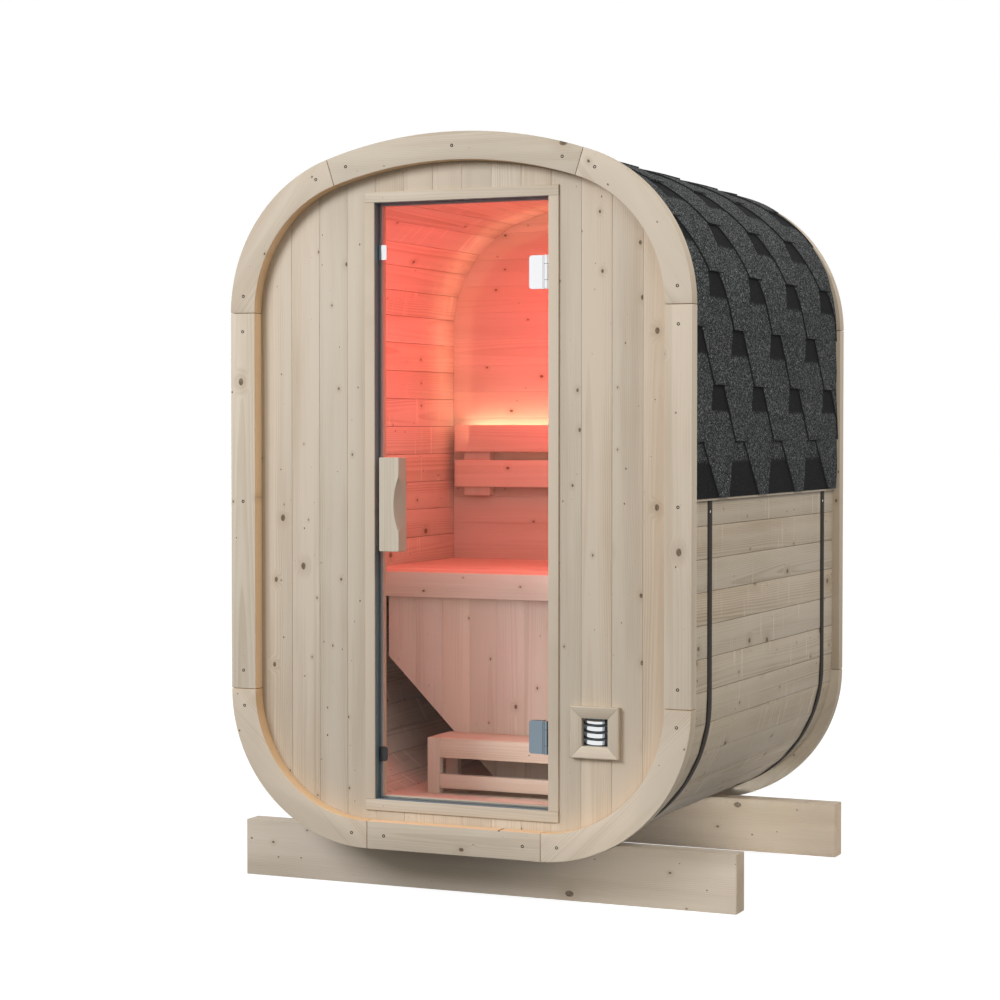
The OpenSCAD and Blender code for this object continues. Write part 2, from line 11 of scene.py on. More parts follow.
import bmesh
import bpy
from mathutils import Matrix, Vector

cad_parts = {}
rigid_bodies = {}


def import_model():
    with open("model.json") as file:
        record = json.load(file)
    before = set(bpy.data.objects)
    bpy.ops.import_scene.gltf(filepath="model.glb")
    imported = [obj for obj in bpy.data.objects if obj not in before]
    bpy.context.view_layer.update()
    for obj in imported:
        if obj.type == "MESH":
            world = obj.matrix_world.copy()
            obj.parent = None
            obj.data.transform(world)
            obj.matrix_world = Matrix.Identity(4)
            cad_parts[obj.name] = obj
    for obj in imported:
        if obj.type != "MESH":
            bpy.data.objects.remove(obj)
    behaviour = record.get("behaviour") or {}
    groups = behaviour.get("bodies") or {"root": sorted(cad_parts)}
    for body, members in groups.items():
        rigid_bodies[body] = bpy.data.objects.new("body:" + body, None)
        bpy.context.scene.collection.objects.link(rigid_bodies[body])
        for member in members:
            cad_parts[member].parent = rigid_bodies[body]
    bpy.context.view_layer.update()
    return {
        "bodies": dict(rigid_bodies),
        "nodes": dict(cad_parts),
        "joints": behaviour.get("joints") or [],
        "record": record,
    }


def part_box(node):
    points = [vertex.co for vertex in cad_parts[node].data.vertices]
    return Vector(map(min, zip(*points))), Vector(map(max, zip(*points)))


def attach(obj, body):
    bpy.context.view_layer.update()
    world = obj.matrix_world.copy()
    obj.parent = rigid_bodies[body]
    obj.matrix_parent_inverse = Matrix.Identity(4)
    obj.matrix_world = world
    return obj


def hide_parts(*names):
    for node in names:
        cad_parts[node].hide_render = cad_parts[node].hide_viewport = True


LOG = logging.getLogger("sauna")
MM = 0.001
Point2 = tuple[float, float]
Colour = tuple[float, float, float]
Height = Callable[[float], float]
Socket = bpy.types.NodeSocket
Sockets = dict[str, Socket]
SHARP_TURN = math.radians(28.0)


class Plane(Enum):
    """The plane in which a board's outline is drawn. The board's thickness runs along the third axis."""

    XZ = ("x", "z", "y")
    XY = ("x", "y", "z")
    YZ = ("y", "z", "x")

    def point(self, a: float, b: float, c: float) -> Vector:
        """Gives the point at a and b in the plane and c along the third axis."""
        place = dict(zip(self.value, (a, b, c)))
        return Vector((place["x"], place["y"], place["z"]))

    @property
    def normal(self) -> Vector:
        """The direction of the board's thickness."""
        return self.point(0.0, 0.0, 1.0)


class Along:
    """Directions in which the fibres of a board run."""

    X = Vector((1.0, 0.0, 0.0))
    Y = Vector((0.0, 1.0, 0.0))
    Z = Vector((0.0, 0.0, 1.0))


# Shader graphs


class Graph:
    """Adds nodes to a shader tree and wires them together."""

    def __init__(self, tree: bpy.types.NodeTree) -> None:
        """Keeps the tree that nodes are added to."""
        self.tree = tree

    def node(self, kind: str, **settings: object) -> bpy.types.Node:
        """Adds a node.

        Args:
            kind: Blender's name of the node type.
            settings: Properties that are set on the node.

        Returns:
            The new node.
        """
        new = self.tree.nodes.new(kind)
        for name, value in settings.items():
            setattr(new, name, value)
        return new

    def feed(self, socket: Socket, value: object) -> None:
        """Links an output to a socket, or sets the socket's own value."""
        if isinstance(value, Socket):
            self.tree.links.new(value, socket)
        elif isinstance(value, tuple) and len(value) == 3 and socket.type == "RGBA":
            socket.default_value = (*value, 1.0)
        else:
            socket.default_value = value

    def maths(self, operation: str, *values: object, clamp: bool = False) -> Socket:
        """Adds a Math node and returns its result."""
        new = self.node("ShaderNodeMath", operation=operation, use_clamp=clamp)
        for socket, value in zip(new.inputs, values):
            self.feed(socket, value)
        return new.outputs[0]

    def plus(self, *values: object, clamp: bool = False) -> Socket:
        """Adds two values."""
        return self.maths("ADD", *values, clamp=clamp)

    def minus(self, *values: object) -> Socket:
        """Takes the second value from the first."""
        return self.maths("SUBTRACT", *values)

    def times(self, *values: object, clamp: bool = False) -> Socket:
        """Multiplies two values."""
        return self.maths("MULTIPLY", *values, clamp=clamp)

    def swing(self, value: object, factor: object) -> Socket:
        """Centres a value that runs from 0 to 1, and multiplies it by a factor."""
        return self.times(self.minus(value, 0.5), factor)

    def scaled(self, vector: object, factors: tuple[float, float, float]) -> Socket:
        """Multiplies a vector by three factors."""
        return self.vectors("MULTIPLY", vector, factors)

    def added(self, first: object, second: object) -> Socket:
        """Adds two vectors."""
        return self.vectors("ADD", first, second)

    def vectors(self, operation: str, first: object, second: object) -> Socket:
        """Adds a Vector Math node and returns its vector."""
        new = self.node("ShaderNodeVectorMath", operation=operation)
        self.feed(new.inputs[0], first)
        self.feed(new.inputs[1], second)
        return new.outputs[0]

    def mixed(self, share: object, first: object, second: object, how: str = "MIX") -> Socket:
        """Mixes two colours and returns the mix."""
        new = self.node("ShaderNodeMix", data_type="RGBA", blend_type=how)
        self.feed(new.inputs[0], share)
        self.feed(new.inputs[6], first)
        self.feed(new.inputs[7], second)
        return new.outputs[2]

    def ramp(self, value: object, low: object, high: object, start: float = 0.0, end: float = 1.0) -> Socket:
        """Eases a value from start at low to end at high."""
        new = self.node("ShaderNodeMapRange", interpolation_type="SMOOTHSTEP")
        for socket, setting in zip(new.inputs, (value, low, high, start, end)):
            self.feed(socket, setting)
        return new.outputs[0]

    def noise(self, vector: object, scale: float, detail: float = 2.0) -> Socket:
        """Adds a noise texture and returns its value."""
        new = self.node("ShaderNodeTexNoise")
        self.feed(new.inputs["Vector"], vector)
        new.inputs["Scale"].default_value = scale
        new.inputs["Detail"].default_value = detail
        return new.outputs[0]

    def cells(self, vector: object, scale: float, flat: bool = True) -> tuple[Socket, Socket]:
        """Adds a cell texture.

        Args:
            vector: The place on the surface.
            scale: Cells for each metre.
            flat: Whether the cells differ only along the first two axes.

        Returns:
            The distance to the middle of the nearest cell in metres, and that cell's random colour.
        """
        new = self.node("ShaderNodeTexVoronoi", voronoi_dimensions="2D" if flat else "3D")
        self.feed(new.inputs["Vector"], vector)
        new.inputs["Scale"].default_value = scale
        return self.maths("DIVIDE", new.outputs["Distance"], scale), new.outputs["Color"]

    def attribute(self, name: str) -> bpy.types.Node:
        """Reads a named attribute of the mesh."""
        return self.node("ShaderNodeAttribute", attribute_name=name)

    def parts(self, vector: object) -> tuple[Socket, ...]:
        """Splits a vector into its three numbers."""
        new = self.node("ShaderNodeSeparateXYZ")
        self.feed(new.inputs[0], vector)
        return tuple(new.outputs)


def shared_group(name: str, inputs: dict[str, object], outputs: dict[str, str],
                 wire: Callable[[Graph, Sockets], Sockets]) -> bpy.types.NodeTree:
    """Builds a shader node group once.

    Args:
        name: The group's name.
        inputs: Each input's default: three numbers for a colour, one for a value.
        outputs: Each output's kind, Color or Float.
        wire: Builds the nodes between them and returns a socket for each output.

    Returns:
        The group, which later calls return again.
    """
    if name in bpy.data.node_groups:
        return bpy.data.node_groups[name]
    tree = bpy.data.node_groups.new(name, "ShaderNodeTree")
    for label, default in inputs.items():
        kind = "NodeSocketColor" if isinstance(default, tuple) else "NodeSocketFloat"
        socket = tree.interface.new_socket(name=label, in_out="INPUT", socket_type=kind)
        socket.default_value = (*default, 1.0) if isinstance(default, tuple) else default
    for label, kind in outputs.items():
        tree.interface.new_socket(name=label, in_out="OUTPUT", socket_type="NodeSocket" + kind)
    graph = Graph(tree)
    entry = graph.node("NodeGroupInput")
    exit_node = graph.node("NodeGroupOutput")
    results = wire(graph, {label: entry.outputs[label] for label in inputs})
    for label, socket in results.items():
        graph.feed(exit_node.inputs[label], socket)
    return tree


def timber_group() -> bpy.types.NodeTree:
    """Spruce from the mesh's grain coordinates: growth rings, fibres, knots and planing marks, and a warm painted light
    on faces that look to a ring's middle.
    """

    def wire(g: Graph, given: Sockets) -> Sockets:
        """Wires the growth rings, knots and fibres of one board."""
        grain = g.attribute("grain").outputs["Vector"]
        board = g.attribute("board").outputs["Fac"]
        cut_end = g.attribute("end_grain").outputs["Fac"]
        shift = g.node("ShaderNodeCombineXYZ")
        for socket, factor in zip(shift.inputs, (61.0, 37.0, 23.0)):
            g.feed(socket, g.times(board, factor))
        place = g.added(grain, shift.outputs[0])
        along, across, depth = g.parts(grain)
        second_draw = g.maths("FRACT", g.times(board, 7.31))
        third_draw = g.maths("FRACT", g.times(board, 13.7))

        def knots(cell_rate: float, share: object, size: object) -> tuple[Socket, Socket]:
            """Returns a mask of the knots and one of the fibres that bend round them."""
            distance, draw = g.cells(g.scaled(place, (0.7, 1.0, 0.0)), cell_rate)
            chance, bulk, _ = g.parts(draw)
            present = g.maths("LESS_THAN", chance, share)
            radius = g.times(size, g.maths("MULTIPLY_ADD", g.maths("POWER", bulk, 2.0), 1.1, 0.35))
            core = g.ramp(distance, g.times(radius, 0.75), g.times(radius, 1.1), 1.0, 0.0)
            halo = g.ramp(distance, 0.0, g.times(radius, 4.5), 1.0, 0.0)
            return g.times(core, present), g.times(halo, present)

        core, halo = knots(7.5, given["Knot Share"], given["Knot Size"])
        pin_core, pin_halo = knots(17.0, g.times(given["Knot Share"], 0.55),
                                   g.times(given["Knot Size"], 0.33))
        sway = g.swing(g.noise(g.scaled(place, (1.3, 6.0, 6.0)), 1.0), 0.03)
        heart_side = g.swing(board, 0.13)
        heart_depth = g.maths("MULTIPLY_ADD", second_draw, 0.07, 0.03)
        off_side = g.plus(g.minus(across, heart_side), sway)
        off_depth = g.plus(depth, heart_depth)
        reach = g.maths("SQRT", g.plus(g.times(off_side, off_side), g.times(off_depth, off_depth)))
        taper = g.times(along, g.swing(third_draw, 0.024))
        bend = g.times(g.plus(halo, g.times(pin_halo, 0.35)), 0.011)
        age = g.maths("DIVIDE", g.plus(g.plus(reach, taper), bend), given["Ring Pitch"])
        season = g.maths("FRACT", age)
        late_wood = g.times(g.ramp(season, 0.1, 0.88), g.ramp(season, 0.92, 1.0, 1.0, 0.0))
        year = g.noise(g.scaled(place, (0.5, 24.0, 24.0)), 1.0, 1.0)
        late_wood = g.times(late_wood, g.ramp(year, 0.3, 0.7, 0.25, 1.0))
        fibre = g.noise(g.scaled(place, (9.0, 420.0, 420.0)), 1.0)
        streak = g.noise(g.scaled(place, (0.9, 17.0, 17.0)), 1.0, 3.0)
        cloud = g.noise(place, 2.3)
        shade = g.times(late_wood, given["Contrast"])
        for texture, factor in ((streak, 1.35), (fibre, 0.4)):
            shade = g.plus(shade, g.swing(texture, factor))
        shade = g.plus(shade, g.swing(cloud, 0.8), clamp=True)
        colour = g.mixed(shade, given["Pale"], given["Dark"])
        warm = g.times(g.ramp(third_draw, 0.1, 0.9), 0.35)
        value = g.node("ShaderNodeHueSaturation")
        g.feed(value.inputs["Value"], g.plus(g.swing(second_draw, 0.12), 1.0))
        g.feed(value.inputs["Color"], g.mixed(warm, colour, (1.0, 0.93, 0.84), "MULTIPLY"))
        marks = g.ramp(g.noise(g.scaled(place, (75.0, 3.5, 3.5)), 1.0, 1.0), 0.6, 0.72)
        marks = g.times(g.times(marks, g.ramp(g.noise(place, 6.0), 0.42, 0.62)), given["Planing"])
        fresh = g.mixed(1.0, given["Pale"], (1.2, 1.2, 1.22), "MULTIPLY")
        colour = g.mixed(g.times(marks, 0.8), value.outputs[0], fresh)
        ringed = g.mixed(g.times(halo, 0.5), colour, given["Dark"])
        ringed = g.mixed(g.times(cut_end, 0.75), ringed, (0.84, 0.78, 0.7), "MULTIPLY")
        # Painted light: faces that look to the ring's middle are lightened and warmed, standing in for light bounced
        # onto them.
        ringed = g.mixed(g.attribute("hub_side_painted_light").outputs["Fac"], ringed, (1.36, 1.12, 0.86), "MULTIPLY")
        dark = g.maths("MAXIMUM", core, pin_core)
        knot_tone = g.mixed(g.ramp(g.noise(place, 220.0), 0.35, 0.9, 0.0, 0.6), given["Knot"], given["Dark"])
        colour = g.mixed(g.times(dark, 0.92), ringed, knot_tone)
        rough = g.maths("MULTIPLY_ADD", fibre, 0.14, 0.55)
        height = g.minus(g.plus(g.times(late_wood, 0.35), g.times(fibre, 0.55)), g.times(dark, 0.6))
        return {"Color": colour, "Roughness": rough, "Height": height}

    return shared_group(
        "timber_grain",
        {"Pale": (0.66, 0.57, 0.44), "Dark": (0.5, 0.4, 0.27), "Knot": (0.14, 0.08, 0.05), "Ring Pitch": 0.0045,
         "Contrast": 0.5, "Knot Share": 0.4, "Knot Size": 0.007, "Planing": 0.0},
        {"Color": "Color", "Roughness": "Float", "Height": "Float"}, wire)


def wear_group() -> bpy.types.NodeTree:
    """Faint handling marks that metal, plastic and glass share: smears and fine scratches."""

    def wire(g: Graph, given: Sockets) -> Sockets:
        """Wires the smears and the fine lines along the height."""
        place = g.node("ShaderNodeTexCoord").outputs["Object"]
        smear = g.noise(place, 14.0, 3.0)
        lines = g.noise(g.scaled(place, (900.0, 900.0, 30.0)), 1.0)
        amount = g.plus(g.swing(smear, given["Smears"]), g.swing(lines, given["Lines"]))
        rough = g.plus(given["Roughness"], amount, clamp=True)
        colour = g.mixed(g.times(g.ramp(smear, 0.35, 0.75), 0.35), given["Color"], given["Worn"])
        return {"Color": colour, "Roughness": rough, "Height": lines}

    return shared_group(
        "handling_marks",
        {"Color": (0.6, 0.6, 0.6), "Worn": (0.7, 0.7, 0.7), "Roughness": 0.3, "Smears": 0.1, "Lines": 0.1},
        {"Color": "Color", "Roughness": "Float", "Height": "Float"}, wire)


def granule_group() -> bpy.types.NodeTree:
    """Mineral granules on bitumen, with the dark band that each course carries under the one above."""

    def wire(g: Graph, given: Sockets) -> Sockets:
        """Wires the grains, their tints and the faded dark band."""
        place = g.node("ShaderNodeTexCoord").outputs["Object"]
        band_place, layer, first = g.parts(g.attribute("course").outputs["Vector"])
        distance, draw = g.cells(place, 330.0, flat=False)
        tint, glint, hue = g.parts(draw)
        patch = g.noise(place, 5.0)
        light = g.maths("POWER", tint, 3.0)
        colour = g.mixed(light, given["Deep"], given["Pale"])
        colour = g.mixed(g.times(g.maths("GREATER_THAN", glint, 0.965), 0.8), colour, given["Glint"])
        colour = g.mixed(g.times(hue, 0.35), colour, given["Cool"])
        colour = g.mixed(1.0, colour, g.mixed(patch, (0.82, 0.82, 0.82), (1.12, 1.12, 1.12)), "MULTIPLY")
        edge = g.plus(band_place, g.swing(g.noise(place, 160.0), 0.03))
        usual = g.ramp(edge, g.minus(given["Exposure"], 0.080), g.minus(given["Exposure"], 0.068))
        lowest = g.ramp(edge, 0.094, 0.108, 1.0, 0.0)
        band = g.plus(g.times(lowest, first), g.times(usual, g.minus(1.0, first)))
        band = g.times(band, g.minus(1.0, layer), clamp=True)
        colour = g.mixed(g.times(band, 0.93), colour, given["Band"])
        height = g.maths("MULTIPLY_ADD", g.ramp(distance, 0.0, 0.0022, 1.0, 0.0), 0.7, g.times(tint, 0.3))
        return {"Color": colour, "Height": height}

    return shared_group(
        "roof_granules",
        {"Deep": (0.01, 0.0115, 0.012), "Pale": (0.25, 0.265, 0.27), "Glint": (0.45, 0.47, 0.48),
         "Cool": (0.04, 0.052, 0.054), "Band": (0.0105, 0.0105, 0.012), "Exposure": 0.155},
        {"Color": "Color", "Height": "Float"}, wire)


# Finishes


@dataclass(frozen=True)
class Finish:
    """A surface finish. Each kind builds its own material."""

    name: str
    slot: str

    def material(self) -> bpy.types.Material:
        """Gives the finish's material, which is built on first use."""
        title = "dressed_" + self.name
        if title in bpy.data.materials:
            return bpy.data.materials[title]
        made = bpy.data.materials.new(title)
        made.use_nodes = True
        graph = Graph(made.node_tree)
        self.wire(graph, made.node_tree.nodes["Principled BSDF"])
        return made

    def wire(self, graph: Graph, shader: bpy.types.Node) -> None:
        """Wires the material's nodes into its Principled shader."""
        raise NotImplementedError

    @staticmethod
    def use(graph: Graph, tree: bpy.types.NodeTree, values: dict[str, object]) -> bpy.types.Node:
        """Places a shared group with its own values."""
        node = graph.node("ShaderNodeGroup", node_tree=tree)
        for label, value in values.items():
            graph.feed(node.inputs[label], value)
        return node

    @staticmethod
    def bump(graph: Graph, shader: bpy.types.Node, height: Socket, strength: float, rise: float) -> None:
        """Feeds a height into the shader's normal."""
        node = graph.node("ShaderNodeBump")
        node.inputs["Strength"].default_value = strength
        node.inputs["Distance"].default_value = rise
        graph.feed(node.inputs["Height"], height)
        graph.feed(shader.inputs["Normal"], node.outputs["Normal"])


@dataclass(frozen=True)
class Spruce(Finish):
    """Planed and untreated spruce."""

    pale: Colour = (0.66, 0.575, 0.465)
    dark: Colour = (0.46, 0.37, 0.26)
    knot: Colour = (0.11, 0.07, 0.045)
    ring_pitch: float = 4.6 * MM
    contrast: float = 0.42
    knot_share: float = 0.6
    knot_size: float = 6.4 * MM
    planing: float = 0.0

    def wire(self, graph: Graph, shader: bpy.types.Node) -> None:
        """Wires the shared timber group with this spruce's own values."""
        timber = self.use(graph, timber_group(), {
            "Pale": self.pale, "Dark": self.dark, "Knot": self.knot, "Ring Pitch": self.ring_pitch,
            "Contrast": self.contrast, "Knot Share": self.knot_share, "Knot Size": self.knot_size,
            "Planing": self.planing})
        graph.feed(shader.inputs["Base Color"], timber.outputs["Color"])
        graph.feed(shader.inputs["Roughness"], timber.outputs["Roughness"])
        shader.inputs["Specular IOR Level"].default_value = 0.3
        self.bump(graph, shader, timber.outputs["Height"], 0.35, 0.6 * MM)


@dataclass(frozen=True)
class Shingle(Finish):
    """Granulated roofing shingle."""

    exposure: float = 155 * MM

    def wire(self, graph: Graph, shader: bpy.types.Node) -> None:
        """Wires the granules and their relief."""
        granules = self.use(graph, granule_group(), {"Exposure": self.exposure})
        graph.feed(shader.inputs["Base Color"], granules.outputs["Color"])
        shader.inputs["Roughness"].default_value = 0.9
        shader.inputs["Specular IOR Level"].default_value = 0.1
        self.bump(graph, shader, granules.outputs["Height"], 0.8, 1.2 * MM)


@dataclass(frozen=True)
class Worked(Finish):
    """Metal, plastic or rubber with faint handling marks."""

    colour: Colour = (0.6, 0.6, 0.6)
    worn: Colour = (0.66, 0.66, 0.66)
    roughness: float = 0.3
    smears: float = 0.08
    lines: float = 0.06
    metallic: float = 1.0
    specular: float = 0.5

    def wire(self, graph: Graph, shader: bpy.types.Node) -> None:
        """Wires the shared marks with this finish's own values."""
        marks = self.use(graph, wear_group(), {
            "Color": self.colour, "Worn": self.worn, "Roughness": self.roughness,
            "Smears": self.smears, "Lines": self.lines})
        graph.feed(shader.inputs["Base Color"], marks.outputs["Color"])
        graph.feed(shader.inputs["Roughness"], marks.outputs["Roughness"])
        shader.inputs["Metallic"].default_value = self.metallic
        shader.inputs["Specular IOR Level"].default_value = self.specular
        self.bump(graph, shader, marks.outputs["Height"], 0.06, 0.2 * MM)


@dataclass(frozen=True)
class HingeSteel(Worked):
    """Brushed steel, with a darker blue grey painted on the hinge near the ground as a painted reflection."""

    low_painted_reflection: Colour = (0.2, 0.25, 0.29)
    painted_reflection_below: float = 1.0
    fade: float = 0.1

    def wire(self, graph: Graph, shader: bpy.types.Node) -> None:
        """Wires the shared marks, and the painted darker reflection below a height."""
        super().wire(graph, shader)
        bright = shader.inputs["Base Color"].links[0].from_socket
        _, _, height = graph.parts(graph.node("ShaderNodeTexCoord").outputs["Object"])
        # Painted reflection: below the height the bright steel turns to a darker blue grey.
        low = graph.ramp(height, self.painted_reflection_below - self.fade, self.painted_reflection_below + self.fade, 1.0, 0.0)
        graph.feed(shader.inputs["Base Color"], graph.mixed(low, bright, self.low_painted_reflection))


@dataclass(frozen=True)
class ClearGlass(Finish):
    """Toughened glass that lets lamps through."""

    tint: Colour = (0.9, 0.955, 0.94)
    worn: Colour = (0.93, 0.965, 0.955)
    shadow_tint: Colour = (0.93, 0.95, 0.945)
    ior: float = 1.16

    def wire(self, graph: Graph, shader: bpy.types.Node) -> None:
        """Wires clear glass, and a plain way through it for rays from lamps."""
        marks = self.use(graph, wear_group(), {
            "Color": self.tint, "Worn": self.worn, "Roughness": 0.0, "Smears": 0.006, "Lines": 0.0})
        graph.feed(shader.inputs["Base Color"], marks.outputs["Color"])
        graph.feed(shader.inputs["Roughness"], marks.outputs["Roughness"])
        for label, value in (("Metallic", 0.0), ("Transmission Weight", 1.0), ("IOR", self.ior)):
            shader.inputs[label].default_value = value
        clear = graph.node("ShaderNodeBsdfTransparent")
        graph.feed(clear.inputs["Color"], self.shadow_tint)
        path = graph.node("ShaderNodeLightPath")
        blend = graph.node("ShaderNodeMixShader")
        graph.feed(blend.inputs[0], path.outputs["Is Shadow Ray"])
        graph.feed(blend.inputs[1], shader.outputs[0])
        graph.feed(blend.inputs[2], clear.outputs[0])
        graph.feed(graph.tree.nodes["Material Output"].inputs["Surface"], blend.outputs[0])


@dataclass(frozen=True)
class GlowStrip(Finish):
    """Diffusing cover over a row of small lamps."""

    glow: Colour = (1.0, 0.82, 0.56)
    strength: float = 12.0
    lamp_pitch: float = 16 * MM

    def wire(self, graph: Graph, shader: bpy.types.Node) -> None:
        """Wires the glow, a little brighter over each lamp."""
        place = graph.node("ShaderNodeTexCoord").outputs["Object"]
        along, _, _ = graph.parts(place)
        wave = graph.maths("SINE", graph.times(along, 2.0 * math.pi / self.lamp_pitch))
        share = graph.maths("MULTIPLY_ADD", wave, 0.1, 0.9)
        graph.feed(shader.inputs["Emission Color"], graph.mixed(share, (0.0, 0.0, 0.0), self.glow))
        shader.inputs["Emission Strength"].default_value = self.strength
        shader.inputs["Roughness"].default_value = 0.5
        graph.feed(shader.inputs["Base Color"], graph.mixed(share, (0.8, 0.75, 0.68), (0.95, 0.92, 0.85)))


RING_SPRUCE = Spruce("ring_spruce", "ring_timber", knot_share=0.42, contrast=0.35)
STAVE_SPRUCE = Spruce(
    "stave_spruce", "stave_timber", pale=(0.64, 0.56, 0.45), dark=(0.4, 0.31, 0.205), planing=1.0, contrast=0.6)
WALL_SPRUCE = Spruce("wall_spruce", "wall_timber", knot_share=0.68, knot_size=5.2 * MM)
FRAME_SPRUCE = Spruce("frame_spruce", "frame_timber", contrast=0.3, knot_share=0.2, knot_size=4.0 * MM)
HANDLE_SPRUCE = Spruce("handle_spruce", "handle_timber", pale=(0.64, 0.57, 0.465), contrast=0.3, knot_share=0.0)
SKID_SPRUCE = Spruce("skid_spruce", "skid_timber", pale=(0.7, 0.61, 0.5), dark=(0.5, 0.41, 0.3), contrast=0.45)
INSIDE_SPRUCE = Spruce("inside_spruce", "inside_timber", knot_share=0.6, knot_size=4.2 * MM, contrast=0.35)
SHINGLE = Shingle("charcoal_shingle", "shingle")
BITUMEN = Worked("bitumen_edge", "shingle", (0.008, 0.008, 0.009), (0.014, 0.014, 0.015), 0.7, metallic=0.0)
CHROME = Worked("polished_steel", "bright_steel", (0.86, 0.87, 0.88), (0.9, 0.9, 0.9), 0.14, 0.05, 0.04)
# The lower hinge's blue grey is a painted reflection.
HINGE_STEEL = HingeSteel("hinge_steel", "hinge_steel", (0.93, 0.935, 0.955), (0.94, 0.945, 0.965), 0.3)
PLATE_STEEL = Worked("louvre_plate_steel", "louvre_steel", (0.32, 0.36, 0.38), (0.38, 0.42, 0.44), 0.35, 0.1, 0.05)
# Slate grey seal; the same finish is painted shade along the glass edge.
SEAL_AND_PAINTED_SHADE = Worked("grey_seal_and_painted_shade", "black_plastic", (0.13, 0.21, 0.24), (0.16, 0.24, 0.27), 0.5, metallic=0.0)
# A pale mauve strip, painted light on the stop faces behind the glass.
STOP_PAINTED_LIGHT = Worked("stop_face_painted_light", "black_plastic", (0.8, 0.74, 0.8), (0.84, 0.78, 0.84), 0.5, metallic=0.0)
# Bright steel laid on the hoods' middles as a painted highlight.
LOUVRE_PAINTED_HIGHLIGHT = Worked("louvre_steel", "louvre_steel", (0.84, 0.85, 0.87), (0.88, 0.88, 0.89), 0.1, 0.05, 0.03)
# Flat near-black screw heads, painted shade of the holes they sit in.
SCREW_PAINTED_SHADE = Worked(
    "screw_painted_shade", "band_steel", (0.01, 0.0085, 0.0075), (0.016, 0.013, 0.012), 0.7, metallic=0.0, specular=0.04)
BAND_STEEL = Worked(
    "band_steel", "band_steel", (0.036, 0.03, 0.026), (0.05, 0.043, 0.038), 0.65, metallic=0.0, specular=0.08)
BLACK_PLASTIC = Worked("black_plastic", "black_plastic", (0.012, 0.012, 0.013), (0.02, 0.02, 0.02), 0.4, metallic=0.0)
# Black rubber for the hinge washers, and painted shade on the vent's hoods and slots.
RUBBER_AND_PAINTED_SHADE = Worked("black_rubber_and_painted_shade", "black_plastic", (0.01, 0.01, 0.011), (0.018, 0.018, 0.018), 0.6, metallic=0.0)
GLASS = ClearGlass("clear_glass", "glass")
GLOW = GlowStrip("light_strip_cover", "light")
HOUSING = Worked("light_strip_housing", "light", (0.34, 0.25, 0.19), (0.38, 0.28, 0.21), 0.7, metallic=0.0)


# Meshes


def finish_object(name: str, mesh: bpy.types.Mesh, body: str, finishes: Sequence[Finish],
                  nodes: Sequence[str]) -> None:
    """Links a mesh as a piece of the object.

    Args:
        name: The piece's name.
        mesh: Its mesh, in the part's own frame.
        body: The body that it rides on.
        finishes: The finishes of its material slots, the main one first.
        nodes: The nodes of the part that it stands for.
    """
    mesh.shade_smooth()
    mesh.set_sharp_from_angle(angle=SHARP_TURN)
    piece = bpy.data.objects.new(name, mesh)
    bpy.context.scene.collection.objects.link(piece)
    for finish in finishes:
        mesh.materials.append(finish.material())
    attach(piece, body)
    if nodes:
        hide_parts(*nodes)
    LOG.info("%s: %d faces, rides on %s", name, len(mesh.polygons), body)


def rectangle(left: float, right: float, low: float, high: float) -> list[Point2]:
    """Gives the corners of a rectangle, counterclockwise from the lower left."""
    return [(left, low), (right, low), (right, high), (left, high)]


def lofted(rows: Sequence[Sequence[Vector]]) -> bmesh.types.BMesh:
    """Builds a closed shape from the corners of its cross sections, one row for each."""
    bm = bmesh.new()
    loops = [[bm.verts.new(place) for place in row] for row in rows]
    bm.faces.new(loops[0])
    bm.faces.new(loops[-1])
    for first, second in zip(loops, loops[1:]):
        for i, corner in enumerate(first):
            j = (i + 1) % len(first)
            bm.faces.new((corner, first[j], second[j], second[i]))
    return bm


def prism(outline: Sequence[Point2], plane: Plane, low: float, high: float) -> bmesh.types.BMesh:
    """Builds a straight shape on an outline in a plane, from low to high along the third axis."""
    return lofted([[plane.point(a, b, level) for a, b in outline] for level in (low, high)])


def eased(bm: bmesh.types.BMesh, ease: float, least_turn: float = 20.0) -> None:
    """Rounds every edge of a closed shape that turns by more than an angle in degrees."""
    if ease <= 0:
        return
    sharp = [e for e in bm.edges if len(e.link_faces) == 2 and e.calc_face_angle(0.0) > math.radians(least_turn)]
    bmesh.ops.bevel(bm, geom=sharp, offset=ease, segments=2, profile=0.6, affect="EDGES", clamp_overlap=True)


